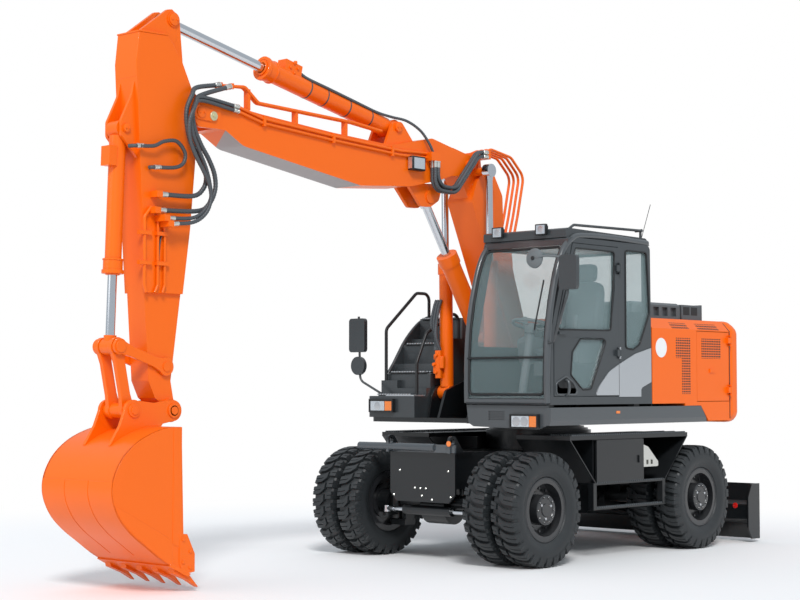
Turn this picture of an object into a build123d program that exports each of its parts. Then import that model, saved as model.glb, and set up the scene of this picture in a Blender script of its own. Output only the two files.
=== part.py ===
from build123d import *
import math
import os

# Wheeled excavator with a two-piece boom, a side cab, twin tyres and a rear dozer blade.
# Millimetres. +X is the way the machine drives, +Y its left (cab) side, +Z up.
# Every section below is written from the swing axis; the finished solids are then moved so
# that the origin lies on the ground under the middle of the machine's own box.
SWING_X = -1720

# Wheels and axles
WHEELBASE = 2600
FRONT_AXLE_X = 1500
REAR_AXLE_X = FRONT_AXLE_X - WHEELBASE
WIDTH_OVER_TYRES = 2550
TYRE_R = 527.5
TYRE_WIDTH = 277
TWIN_GAP = 57
CARCASS_R = 497
BEAD_R = 254
RIM_FLANGE_R = 295.7
RIM_WIDTH = 207
RIM_WALL = 12
HUB_DRUM_R = 165
HUB_CAP_R = 140
SPINDLE_R = 70
LUG_PAIRS = 11
LUG_LENGTH = 92
KINGPIN_Y = 600
KINGPIN_R = 32
STEER_ARM_X = 210
STEER_ROD_Z = 474
FORK_BOTTOM = 360
FORK_TOP = 695
FORK_PLATE = 55
BEAM_R = 95
DIFF_R = 165
DIFF_DROP = 25
DIFF_REACH = 250
FLANGE_HALF = 32

# Running clearances
PIN_GAP = 0.5
SIDE_GAP = 6
FIT = 0.3

# Chassis
FRAME_HALF = 360
FRAME_BOTTOM = 690
FRAME_TOP = 1030
FRAME_FRONT = 1780
FRAME_REAR = -1560
BELLY_BOTTOM = 360
PEDESTAL_R = 540
DECK_BOTTOM = 1300
PEDESTAL_TOP = 1215
STEP_TOP = 1190
STEP_Y = 1200
STEP_FRONT = 1070
STEP_REAR = -930

# Upper structure
UPPER_HALF = 1225
DECK_HALF = UPPER_HALF - 35
DECK_TOP = 1345
SKIRT_TOP = 1459
PANEL_BOTTOM = 1485
SHOULDER_Z = 2240
HOOD_Z = 2345
PANEL_WALL = 35
SEAM_X = -1730
TAIL_R = 2250
CAB_REAR = -260
CAB_FRONT = 1400
CAB_RIGHT = 210
CAB_TOP = 3060
CAB_WALL = 45
CAB_MOUNT_X = (-150, 1250)
CAB_MOUNT_Y = (300, 1080)
CAB_HINGE_Z = (1980, 2800)
DOOR_HINGE_X = 310
DOOR_FRONT_X = 1350
DOOR_WALL = 45
DOOR_GAP = 6
HINGE_Y = UPPER_HALF + 24
HINGE_PIN_R = 8
KNUCKLE_R = 14
SERVICE_HINGE_X = SEAM_X + 24
HOOD_HINGE = (-395, HOOD_Z + 30)
TOOLBOX_HINGE = (626, 1182)
GLASS = 6

# Working equipment, in the plane of the boom
BOOM_Y = -200
BOOM_HALF = 160
BOOM_FOOT = (150, 1900)
FOLD_PIN = (1050, 3850)
ARM_PIN = (4548, 3959)
BUCKET_PIN = (4849, 1456)
ROCKER_PIN = (4895, 1816)
LINK_PIN = (5372, 1975)
BUCKET_LINK_PIN = (5263, 1460)
BOOM_RAM_FOOT = (870, 1600)
BOOM_RAM_EYE = (900, 3800)
BOOM_RAM_Y = 290
FOLD_RAM_FOOT = (690, 2170)
FOLD_RAM_EYE = (1570, 3500)
ARM_RAM_FOOT = (2068, 4119)
ARM_RAM_EYE = (4819, 4713)
BUCKET_RAM_FOOT = (5307, 3748)
PIN_R = 45
CHEEK = 54
ARM_HALF = 140
TIP_HALF = 110
ARM_STEP_Z = 2420
ROCKER_PLATE = 25
EAR_PLATE = 30
BUCKET_HALF = 460
BUCKET_WALL = 24
TEETH = 5

# Hoses and pipes: points, radius and the radius of each bend
ARM_PORTS = [(5021, 3224, 6), (5038, 3091, 6), (4976, 3028, 50), (4936, 2984, 50)]
ARM_HOSES = [
    ([(4329.5, -64.8, 4224.7), (4480, 14, 4215), (4760, 14, 4120), (4758, 14, 3790), (4410, 14, 3228),
      (5020.5, 6, 3224)],
     16, [150, 170, 250, 128]),
    ([(4234.9, -33.4, 4220.4), (4400, 14, 4180), (4690, 14, 4080), (4690, 14, 3790), (4261, 14, 3091),
      (5037.5, 6, 3091)],
     16, [150, 150, 250, 190]),
    ([(4149.5, -22.5, 4052.2), (4640, 50, 4085), (4650, 50, 3780), (4482, 50, 3420), (4510, 50, 3032),
      (4975.5, 50, 3028)],
     13, [140, 200, 200, 150]),
    ([(4149.5, -22.5, 4012.2), (4580, 50, 4040), (4590, 50, 3760), (4415, 50, 3400), (4445, 50, 2988),
      (4935.5, 50, 2984)],
     13, [125, 200, 200, 150]),
]
ARM_PIPES = [
    ([(5080, 3120), (5150, 3040), (5150, 2480), (5130, 2420)], 14),
    ([(5012, 3020), (5012, 2480), (5040, 2420)], 12),
    ([(4950, 2980), (4938, 2900), (4938, 2480), (4960, 2420)], 12),
]
FOLD_HOSES = []
for layer, inward in ((-8, 0), (-8, 44), (28, 0), (28, 44)):
    FOLD_HOSES.append(([(1640 - inward, layer, 3829.7), (1640 - inward, layer, 3550 + inward),
                        (1330, layer, 3545 + inward), (975, layer, 3945 + inward),
                        (850.5, layer, 3945 + inward)],
                       15, [120, 150, 120]))

VALVES = {"arm_ram": [(3290, 4440), (3490, 4485), (3470, 4585), (3270, 4540)],
          "bucket_ram": [(5368, 3440), (5445, 3440), (5440, 3600), (5362, 3600)]}

# Dozer blade
BLADE_HALF = 1275
BLADE_BOTTOM = 35
BLADE_TOP = 620
BLADE_PIVOT = (-1500, 420)
BLADE_RAM_FOOT = (-1620, 1010)
BLADE_RAM_EYE = (-1900, 420)
BLADE_RAM_Y = 150
BLADE_ARM_Y = 350

os.makedirs("parts", exist_ok=True)


def save(name, shape):
    """Moves a finished piece from the swing axis to the origin and writes it."""
    export_step(Pos(SWING_X, 0, 0) * shape, f"parts/{name}.step")


def outline(points):
    """A closed flat outline; a third number on a point is the radius of that corner."""
    face = make_face(Polyline(*[point[:2] for point in points], close=True))
    for x, y, radius in [point for point in points if len(point) == 3]:
        corner = face.vertices().sort_by_distance((x, y))[0]
        face = fillet(corner, radius)
    return face


def side(points, y0, y1):
    """A side profile in X and Z, carried from y0 to y1."""
    plane = Plane((0, y1, 0), x_dir=(1, 0, 0), z_dir=(0, -1, 0))
    return extrude(plane * outline(points), y1 - y0)


def plan(points, z0, z1):
    """A plan outline in X and Y, carried from z0 to z1."""
    return extrude(Pos(0, 0, z0) * outline(points), z1 - z0)


def front(points, x0, x1):
    """A front outline in Y and Z, carried from x0 to x1."""
    plane = Plane((x0, 0, 0), x_dir=(0, 1, 0), z_dir=(1, 0, 0))
    return extrude(plane * outline(points), x1 - x0)


def block(x, y, z):
    """A box between the low and high value of each axis."""
    return plan([(x[0], y[0]), (x[1], y[0]), (x[1], y[1]), (x[0], y[1])], z[0], z[1])


def rod(start, end, radius):
    """A round bar between two points."""
    a = Vector(*start)
    b = Vector(*end)
    return Part() + Solid.make_cylinder(radius, (b - a).length, Plane(origin=a, z_dir=b - a))


def boss(at, radius, y0, y1):
    """A round boss or pin across the machine, at a point of the side view."""
    return rod((at[0], y0, at[1]), (at[0], y1, at[1]), radius)


def ring(at, outer, inner, y0, y1):
    """A tube across the machine."""
    return boss(at, outer, y0, y1) - boss(at, inner, y0 - 1, y1 + 1)


def tube(points, radius, bends):
    """A pipe along straight runs joined by arcs."""
    path = FilletPolyline(*points, radius=bends)
    start = Plane(origin=path @ 0, z_dir=path % 0)
    return sweep(start * Circle(radius), path=path)


def pane(points, y0, y1):
    """A flat pane in the window with the same outline, clear of its edges by the fit."""
    plane = Plane((0, y1, 0), x_dir=(1, 0, 0), z_dir=(0, -1, 0))
    return extrude(plane * offset(outline(points), -FIT, kind=Kind.INTERSECTION), y1 - y0)


def leaf_hinges(x, heights):
    """Fixed and moving halves of the hinges behind an outward door on the left side."""
    y = HINGE_Y
    face = UPPER_HALF
    fixed, moving = None, None
    for z in heights:
        pin = rod((x, y, z - 56), (x, y, z + 56), HINGE_PIN_R)
        for low in (z - 56, z + 36):
            pin += rod((x, y, low), (x, y, low + 20), KNUCKLE_R)
            pin += block((x - 22, x), (face - 1, y), (low, low + 20))
        knuckle = rod((x, y, z - 30), (x, y, z + 30), KNUCKLE_R)
        knuckle += block((x + 7, x + 60), (face - 3, y + 8), (z - 30, z + 30))
        knuckle -= rod((x, y, z - 31), (x, y, z + 31), HINGE_PIN_R + PIN_GAP)
        fixed = pin if fixed is None else fixed + pin
        moving = knuckle if moving is None else moving + knuckle
    return fixed, moving


def mirrored(shape):
    """The same piece on the other side of the machine's middle plane."""
    return mirror(shape, about=Plane.XZ)


def ram(foot, eye, y, barrel_r, rod_r, head, inside, foot_half, eye_half, pin_r):
    """One hydraulic cylinder: its barrel with the foot eye, and its rod with the rod eye.

    head is the barrel's length from the foot pin, inside how far the rod reaches into it.
    """
    length = math.dist(foot, eye)
    ux = (eye[0] - foot[0]) / length
    uz = (eye[1] - foot[1]) / length

    def at(distance):
        return (foot[0] + ux * distance, y, foot[1] + uz * distance)

    foot_r = pin_r + 32
    eye_r = pin_r + 28
    barrel = rod(at(foot_r * 0.8), at(head), barrel_r)
    barrel += rod(at(head - 110), at(head), barrel_r + 12)
    barrel += boss(foot, foot_r, y - foot_half, y + foot_half)
    barrel -= rod(at(foot_r + 40), at(head + 1), rod_r + PIN_GAP)
    barrel -= boss(foot, pin_r + PIN_GAP, y - foot_half - 1, y + foot_half + 1)
    piston = rod(at(head - inside), at(length - eye_r * 0.6), rod_r)
    piston += rod(at(length - eye_r - 25), at(length - eye_r * 0.6), min(rod_r + 14, eye_half))
    piston += boss(eye, eye_r, y - eye_half, y + eye_half)
    return barrel, piston


# Tyre: a carcass of flat bands with two staggered rows of lugs
def lug(hand):
    """One slanted tread lug from the middle of the tread over one shoulder."""
    half = LUG_LENGTH / 2
    slant = 12
    inner_y = -20
    outer_y = TYRE_WIDTH / 2 - 8
    points = [(-half - slant, inner_y), (half - slant, inner_y),
              (half + slant, outer_y), (-half + slant, outer_y)]
    shape = plan(points, -TYRE_R, -CARCASS_R + 22)
    return shape if hand > 0 else mirrored(shape)


def tyre():
    """One tyre about its own centre, standing on the flat top of its lowest lug.

    The carcass has one flat sector for each pair of lugs, so every face of it is plane.
    """
    side_y = TYRE_WIDTH / 2
    section = [(-91, BEAD_R), (-91, 298), (-side_y, 395), (-122, CARCASS_R),
               (122, CARCASS_R), (side_y, 395), (91, 298), (91, BEAD_R)]
    half = math.pi / LUG_PAIRS
    faces = []
    for k in range(LUG_PAIRS):
        corners = []
        for turn in (2 * k - 1.5, 2 * k + 0.5):
            spoke = [(r / math.cos(half) * math.sin(turn * half), y,
                      -r / math.cos(half) * math.cos(turn * half))
                     for y, r in section]
            corners.append(spoke)
        first, second = corners
        for i in range(len(section)):
            j = (i + 1) % len(section)
            faces.append(make_face(Polyline(first[i], first[j], second[j], second[i], close=True)).face())
    body = Part() + Solid(Shell(faces))
    lugs = [Rot(0, 180 / LUG_PAIRS * k, 0) * lug(1 if k % 2 == 0 else -1) for k in range(2 * LUG_PAIRS)]
    return body + lugs


OUTER_TYRE_Y = WIDTH_OVER_TYRES / 2 - TYRE_WIDTH / 2
INNER_TYRE_Y = OUTER_TYRE_Y - TYRE_WIDTH - TWIN_GAP
RIM_OUTER_FACE = OUTER_TYRE_Y + RIM_WIDTH / 2


def twin_rims():
    """Two rims on one hub drum, for the left side, about the axle line."""
    centre = (0, 0)
    drum_inner = INNER_TYRE_Y - 30
    shape = boss(centre, HUB_DRUM_R, drum_inner, OUTER_TYRE_Y + 10)
    shape += boss(centre, HUB_CAP_R, OUTER_TYRE_Y, RIM_OUTER_FACE - 4)
    barrel_r = BEAD_R - FIT
    for y in (INNER_TYRE_Y, OUTER_TYRE_Y):
        low = y - RIM_WIDTH / 2
        high = y + RIM_WIDTH / 2
        shape += ring(centre, barrel_r, barrel_r - RIM_WALL, low, high)
        shape += ring(centre, RIM_FLANGE_R, barrel_r - RIM_WALL, low, low + 11.5)
        shape += ring(centre, RIM_FLANGE_R, barrel_r - RIM_WALL, high - 11.5, high)
        shape += ring(centre, barrel_r - 4, HUB_DRUM_R - 5, y - 18, y)
    return shape - boss(centre, SPINDLE_R + PIN_GAP, drum_inner - 1, OUTER_TYRE_Y - 60)


def wheels():
    """Four twin wheels; each has one node for its two tyres and one for its rims."""
    one = tyre()
    left_tyres = Pos(0, OUTER_TYRE_Y, 0) * one + Pos(0, INNER_TYRE_Y, 0) * one
    left_rims = twin_rims()
    for end, x in (("front", FRONT_AXLE_X), ("rear", REAR_AXLE_X)):
        place = Pos(x, 0, TYRE_R)
        save(f"tyres_{end}_left", place * left_tyres)
        save(f"tyres_{end}_right", place * mirrored(left_tyres))
        save(f"rims_{end}_left", place * left_rims)
        save(f"rims_{end}_right", place * mirrored(left_rims))


# Axles, steering and drive line
def differential(x, out):
    """The round differential housing with its input flange towards the gearbox."""
    z = TYRE_R - DIFF_DROP
    housing = rod((x, -150, z), (x, 150, z), DIFF_R)
    return housing + rod((x, 0, TYRE_R), (x + out * DIFF_REACH, 0, TYRE_R), 100)


def front_axle():
    """Steered axle with its kingpin forks and the steering cylinder in front of it."""
    x = FRONT_AXLE_X
    z = TYRE_R
    beam_end = KINGPIN_Y - 130
    axle = rod((x, -beam_end, z), (x, beam_end, z), BEAM_R) + differential(x, -1)
    for sign in (-1, 1):
        for low in (FORK_BOTTOM - FORK_PLATE, FORK_TOP):
            arm = plan([(x - 75, KINGPIN_Y - 175), (x + 75, KINGPIN_Y - 175), (x + 60, KINGPIN_Y + 58, 50),
                        (x - 60, KINGPIN_Y + 58, 50)], low, low + FORK_PLATE)
            axle += arm if sign > 0 else mirrored(arm)
        web = sorted((sign * (KINGPIN_Y - 175), sign * (KINGPIN_Y - 135)))
        axle += block((x - 60, x + 60), web, (FORK_BOTTOM - FORK_PLATE, FORK_TOP + FORK_PLATE))
        axle += rod((x, sign * KINGPIN_Y, FORK_BOTTOM - 30), (x, sign * KINGPIN_Y, FORK_BOTTOM + 40),
                    KINGPIN_R)
        axle += rod((x, sign * KINGPIN_Y, FORK_TOP - 40), (x, sign * KINGPIN_Y, FORK_TOP + 30), KINGPIN_R)
    axle += block((x - 150, x + 150), (-130, 130), (z + 60, FRAME_BOTTOM - 12))
    rod_x = x + STEER_ARM_X
    barrel = rod((rod_x, -300, STEER_ROD_Z), (rod_x, 300, STEER_ROD_Z), 46)
    barrel += block((x + 80, rod_x - 30), (-190, 190), (STEER_ROD_Z - 30, STEER_ROD_Z + 20))
    barrel -= rod((rod_x, -301, STEER_ROD_Z), (rod_x, 301, STEER_ROD_Z), 22 + FIT)
    save("front_axle", axle + barrel)


def rear_axle():
    x = REAR_AXLE_X
    z = TYRE_R
    axle = rod((x, -700, z), (x, 700, z), BEAM_R) + differential(x, 1)
    for sign in (-1, 1):
        axle += rod((x, sign * 500, z), (x, sign * 760, z), 120)
        axle += rod((x, sign * 700, z), (x, sign * (OUTER_TYRE_Y - 70), z), SPINDLE_R)
        axle += block((x - 130, x + 130), sorted((sign * 200, sign * 330)), (z + 20, FRAME_BOTTOM))
    save("rear_axle", axle)


def knuckles():
    """The steered hub carriers: kingpin boss, spindle and steering arm, and the rod between them."""
    x = FRONT_AXLE_X
    z = TYRE_R
    knuckle = rod((x, KINGPIN_Y, FORK_BOTTOM + SIDE_GAP), (x, KINGPIN_Y, FORK_TOP - SIDE_GAP), 72)
    knuckle -= rod((x, KINGPIN_Y, FORK_BOTTOM), (x, KINGPIN_Y, FORK_BOTTOM + 40 + PIN_GAP),
                   KINGPIN_R + PIN_GAP)
    knuckle -= rod((x, KINGPIN_Y, FORK_TOP - 40 - PIN_GAP), (x, KINGPIN_Y, FORK_TOP), KINGPIN_R + PIN_GAP)
    knuckle += rod((x, KINGPIN_Y + 30, z), (x, INNER_TYRE_Y - 40, z), 115)
    knuckle += rod((x, KINGPIN_Y + 60, z), (x, OUTER_TYRE_Y - 70, z), SPINDLE_R)
    arm_x = x + STEER_ARM_X
    arm_top = STEER_ROD_Z - 33 - SIDE_GAP
    knuckle += plan([(x + 20, KINGPIN_Y + 50), (x + 20, KINGPIN_Y - 55), (arm_x + 30, KINGPIN_Y - 95, 20),
                     (arm_x + 30, KINGPIN_Y - 30, 20)], arm_top - 32, arm_top)
    save("knuckle_left", knuckle)
    save("knuckle_right", mirrored(knuckle))
    bar = rod((arm_x, -480, STEER_ROD_Z), (arm_x, 480, STEER_ROD_Z), 22)
    for sign in (-1, 1):
        at = sign * (KINGPIN_Y - 62)
        bar += rod((arm_x, at, STEER_ROD_Z - 33), (arm_x, at, STEER_ROD_Z + 28), 34)
        bar += rod((arm_x, sign * 440, STEER_ROD_Z), (arm_x, at, STEER_ROD_Z), 27)
    save("steering_rod", bar)


def drive_line():
    """Travel gearbox under the middle of the chassis and the two propeller shafts."""
    z = TYRE_R - 40
    box = block((-150, 260), (-190, 190), (BELLY_BOTTOM + 15 + FIT, 640))
    box += rod((-150, 0, z), (-200, 0, z), 90)
    box += rod((260, 0, z), (300, 0, z), 90)
    half = FLANGE_HALF
    rear_x = REAR_AXLE_X + DIFF_REACH + FIT + half
    front_x = FRONT_AXLE_X - DIFF_REACH - FIT - half
    box += rod((rear_x, 0, TYRE_R), (-200, 0, z), 42)
    box += rod((300, 0, z), (front_x, 0, TYRE_R), 42)
    for x, at in ((-232, z), (332, z), (rear_x, TYRE_R), (front_x, TYRE_R)):
        box += rod((x - half, 0, at), (x + half, 0, at), 68)
    save("drive_line", box)


# Chassis
def chassis():
    half = FRAME_HALF
    frame = block((FRAME_REAR, FRAME_FRONT), (-half, half), (FRAME_BOTTOM, FRAME_TOP))
    frame += side([(-520, FRAME_TOP), (-400, BELLY_BOTTOM + 330), (640, BELLY_BOTTOM + 330),
                   (760, FRAME_TOP)], -440, 440)
    belly = side([(-450, 700), (-450, BELLY_BOTTOM + 60), (-380, BELLY_BOTTOM), (560, BELLY_BOTTOM),
                  (630, BELLY_BOTTOM + 60), (630, 700)], -330, 330)
    belly -= block((-500, 700), (-250, 250), (BELLY_BOTTOM + 15, FRAME_BOTTOM - 10))
    frame += belly
    pedestal = Pos(0, 0, FRAME_TOP - 40) * Cylinder(PEDESTAL_R, PEDESTAL_TOP - FRAME_TOP + 40,
                                                    align=(Align.CENTER, Align.CENTER, Align.MIN))
    frame += pedestal
    for sign in (-1, 1):
        for x in (-640, 560):
            frame += block((x, x + 60), sorted((sign * 300, sign * 560)), (880, 1150))
    x = FRONT_AXLE_X
    for low in (x - 205, x + 165):
        frame += block((low, low + 40), (-150, 150), (TYRE_R + 120, FRAME_BOTTOM + 5))
    frame += rod((x - 205, 0, 661), (x - 150, 0, 661), 30)
    frame += rod((x + 150, 0, 661), (x + 205, 0, 661), 30)
    rear_z = BLADE_RAM_FOOT[1]
    for sign in (-1, 1):
        y = sign * BLADE_RAM_Y
        for offset in (-76, 54):
            frame += side([(FRAME_REAR + 30, rear_z - 110), (FRAME_REAR + 30, rear_z + 50),
                           (BLADE_RAM_FOOT[0] - 45, rear_z + 45, 40),
                           (BLADE_RAM_FOOT[0] - 45, rear_z - 45, 40)],
                          y + offset, y + offset + 22)
        frame += boss(BLADE_RAM_FOOT, 22, y - 76, y + 76)
    for sign in (-1, 1):
        y = sign * BLADE_ARM_Y
        for offset in (-74, 46):
            frame += side([(-1560, FRAME_BOTTOM + 20), (-1400, FRAME_BOTTOM + 20), (-1400, 400, 60),
                           (-1500, 350, 60), (-1565, 400, 40)], y + offset, y + offset + 28)
        frame += boss(BLADE_PIVOT, 30, y - 74, y + 74)
        frame += block((-1560, -1400), sorted((sign * 270, sign * 424)), (FRAME_BOTTOM, FRAME_BOTTOM + 60))
        frame += rod((FRONT_AXLE_X + 60, sign * 300, FRAME_BOTTOM + 5),
                     (FRONT_AXLE_X + 60, sign * 300, TYRE_R + BEAM_R + FIT), 32)
    save("chassis_frame", frame)
    slew = Pos(0, 0, PEDESTAL_TOP) * Cylinder(470, DECK_BOTTOM - PEDESTAL_TOP - 45,
                                              align=(Align.CENTER, Align.CENTER, Align.MIN))
    slew += Pos(0, 0, PEDESTAL_TOP) * Cylinder(510, 20, align=(Align.CENTER, Align.CENTER, Align.MIN))
    slew -= Pos(0, 0, PEDESTAL_TOP - 1) * Cylinder(330, 200, align=(Align.CENTER, Align.CENTER, Align.MIN))
    save("slew_ring", slew)


def front_guard():
    plate = front([(-410, 640, 30), (-330, 560), (330, 560), (410, 640, 30), (410, FRAME_TOP),
                   (-410, FRAME_TOP)],
                  FRAME_FRONT, FRAME_FRONT + 22)
    top_z = 1080
    x = FRAME_FRONT + 62
    guard = plate + rod((x, -780, top_z), (x, 200, top_z), 37)
    guard += block((x - 12, x + 12), (190, 450), (top_z - 45, top_z + 30))
    for y in (-405, 375):
        lug_plate = side([(FRAME_FRONT - 120, FRAME_TOP), (FRAME_FRONT + 90, FRAME_TOP),
                          (FRAME_FRONT + 90, 1190, 40),
                          (FRAME_FRONT + 10, 1190, 40)], y, y + 30)
        lug_plate -= boss((FRAME_FRONT + 45, 1142), 26, y - 1, y + 31)
        guard += lug_plate
    guard += block((FRAME_FRONT - 260, FRAME_FRONT + 22), (-410, 410), (FRAME_TOP, FRAME_TOP + 12))
    save("front_guard", guard)


def side_steps():
    """Step and tool box frame beside the chassis, between the wheels."""
    y0 = 560
    top = block((STEP_REAR, STEP_FRONT), (y0, STEP_Y), (1150, STEP_TOP))
    ends = side([(650, 730), (664, 730), (STEP_FRONT, 1150), (STEP_FRONT - 16, 1150)], y0, STEP_Y)
    ends += side([(-520, 730), (-506, 730), (STEP_REAR + 16, 1150), (STEP_REAR, 1150)], y0, STEP_Y)
    legs = block((650, 700), (STEP_Y - 60, STEP_Y), (480, 735)) + block((-520, -470),
                                                                        (STEP_Y - 60, STEP_Y), (480, 735))
    bar = block((-520, 700), (STEP_Y - 60, STEP_Y), (480, 496))
    floor = block((-520, 664), (y0, STEP_Y), (715, 730))
    frame = top + ends + legs + bar + floor
    box_x = (-158, 664)
    case = block(box_x, (y0, STEP_Y - 36), (730, 1150))
    case -= block((box_x[0] + 14, box_x[1] - 20), (y0 + 14, STEP_Y), (744, 1120))
    chock = side([(-158, 862), (-430, 862, 20), (-425, 910, 20), (-250, 1060, 60), (-158, 1085)], y0,
                 STEP_Y - 20)
    for x in (-330, -255):
        chock -= block((x, x + 36), (STEP_Y - 80, STEP_Y), (885, 930))
    hinge_x, hinge_y = TOOLBOX_HINGE
    pin = rod((hinge_x, hinge_y, 725), (hinge_x, hinge_y, 1155), 6)
    battery_box = block(box_x, (y0, STEP_Y - 36), (730, 1150))
    right = mirrored(frame + battery_box + chock)
    save("side_steps", frame + case + chock + pin + right)
    lid = block((box_x[0] + 6, hinge_x + 10), (STEP_Y - 36 + DOOR_GAP, STEP_Y - 6), (738, 1142))
    lid -= rod((hinge_x, hinge_y, 730), (hinge_x, hinge_y, 1150), 6 + PIN_GAP)
    lid += block((box_x[0] + 60, box_x[0] + 100), (STEP_Y - 6, STEP_Y + 8), (910, 980))
    save("toolbox_door", lid)


# Dozer blade
def blade():
    section = [(-2190, BLADE_BOTTOM), (-2150, BLADE_BOTTOM), (-2085, 200, 200), (-2085, 430, 200),
               (-2160, BLADE_TOP), (-2190, BLADE_TOP), (-2120, 430, 200), (-2120, 200, 200)]
    board = side(section, -BLADE_HALF + 5, BLADE_HALF - 5)
    end_plate = side([(-2215, BLADE_BOTTOM), (-2060, BLADE_BOTTOM, 20), (-1985, 150, 60), (-1985, 480, 60),
                      (-2060, BLADE_TOP, 20), (-2215, BLADE_TOP)], BLADE_HALF - 20, BLADE_HALF)
    board += end_plate + mirrored(end_plate)
    edge = side([(-2215, BLADE_BOTTOM - 2), (-2190, BLADE_BOTTOM - 2), (-2175, 190), (-2190, 190)],
                -BLADE_HALF, BLADE_HALF)
    board += edge
    board += side([(-2090, 200), (-2090, 440), (-2010, 400, 20), (-2010, 240, 20)], -BLADE_HALF + 20,
                  BLADE_HALF - 20)
    for sign in (-1, 1):
        y = sign * BLADE_ARM_Y
        arm = side([(-2060, 240), (-2060, 440), (-1800, 470, 200),
                    (BLADE_PIVOT[0] + 20, BLADE_PIVOT[1] + 55, 50),
                    (BLADE_PIVOT[0] + 55, BLADE_PIVOT[1], 50),
                    (BLADE_PIVOT[0] + 20, BLADE_PIVOT[1] - 55, 50),
                    (-1800, 300, 200)], y - 40, y + 40)
        arm -= boss(BLADE_PIVOT, 30 + PIN_GAP, y - 41, y + 41)
        board += arm
        y = sign * BLADE_RAM_Y
        for offset in (-64, 42):
            board += side([(-2040, 300), (-2040, 500), (BLADE_RAM_EYE[0] + 55, BLADE_RAM_EYE[1] + 50, 50),
                           (BLADE_RAM_EYE[0] + 55, BLADE_RAM_EYE[1] - 50, 50)], y + offset, y + offset + 22)
    save("dozer_blade", board)
    barrels, rods = None, None
    for sign in (-1, 1):
        barrel, piston = ram(BLADE_RAM_FOOT, BLADE_RAM_EYE, sign * BLADE_RAM_Y, 50, 24, 370, 75, 49, 36, 22)
        barrels = barrel if barrels is None else barrels + barrel
        rods = piston if rods is None else rods + piston
    save("blade_ram_barrels", barrels)
    save("blade_ram_rods", rods)


# Upper structure
def upper_frame():
    deck = plan([(SEAM_X, -DECK_HALF), (1250, -DECK_HALF, 60), (1250, 150), (CAB_FRONT - 30, 190),
                 (CAB_FRONT - 30, DECK_HALF, 60), (SEAM_X, DECK_HALF)], DECK_BOTTOM, DECK_TOP)
    frame = deck
    web = [(-900, DECK_TOP - 5), (-650, 1560, 200), (BOOM_FOOT[0] - 130, BOOM_FOOT[1] + 40, 100),
           (BOOM_FOOT[0] + 110, BOOM_FOOT[1] + 110, 100), (700, 1720, 200),
           (1010, 1620, 80), (1120, DECK_TOP - 5)]
    for inner, outer in ((176, 206), (-206, -176)):
        frame += side(web, BOOM_Y + inner, BOOM_Y + outer)
    frame += boss(BOOM_FOOT, PIN_R + 5, BOOM_Y - 206, BOOM_Y + 206)
    lug_plate = [(700, DECK_TOP - 5), (800, 1560, 60), (840, 1660, 60), (950, 1660, 60), (1010, 1560, 60),
                 (1060, DECK_TOP - 5)]
    for sign in (-1, 1):
        y = BOOM_Y + sign * BOOM_RAM_Y
        low, high = sorted((y + sign * 74, y + sign * 96))
        frame += side(lug_plate, low, high)
        low, high = sorted((y - sign * 100, y + sign * 96))
        frame += boss(BOOM_RAM_FOOT, 38, low, high)
    frame += Pos(0, 0, DECK_BOTTOM - 44.5) * Cylinder(420, 46,
                                                      align=(Align.CENTER, Align.CENTER, Align.MIN))
    for x in CAB_MOUNT_X:
        for y in CAB_MOUNT_Y:
            frame += block((x - 45, x + 45), (y - 35, y + 35), (DECK_TOP - 5, PANEL_BOTTOM - FIT))
    save("upper_frame", frame)


def tail_x(y, radius=TAIL_R):
    return -math.sqrt(radius ** 2 - y ** 2)


def counterweight():
    arc_half = UPPER_HALF
    corner = (tail_x(arc_half), arc_half)
    edge = Polyline((SEAM_X - FIT, -arc_half), (corner[0], -arc_half))
    edge += ThreePointArc((corner[0], -arc_half), (-TAIL_R, 0), corner)
    edge += Polyline(corner, (SEAM_X - FIT, arc_half), (SEAM_X - FIT, -arc_half))
    body = extrude(Pos(0, 0, 1280) * make_face(edge), HOOD_Z + 5 - 1280)
    top_edges = body.edges().filter_by_position(Axis.Z, HOOD_Z, HOOD_Z + 10)
    outer = [e for e in top_edges if e.center().X < SEAM_X - 10]
    body = chamfer(outer, 90)
    low = [e for e in body.edges().filter_by_position(Axis.Z, 1275, 1285) if e.center().X < SEAM_X - 10]
    body = chamfer(low, 60)
    for sign in (-1, 1):
        body -= rod((-2000, sign * 800, HOOD_Z - 80), (-2000, sign * 800, HOOD_Z + 10), 42)
    save("counterweight", body)


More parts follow.
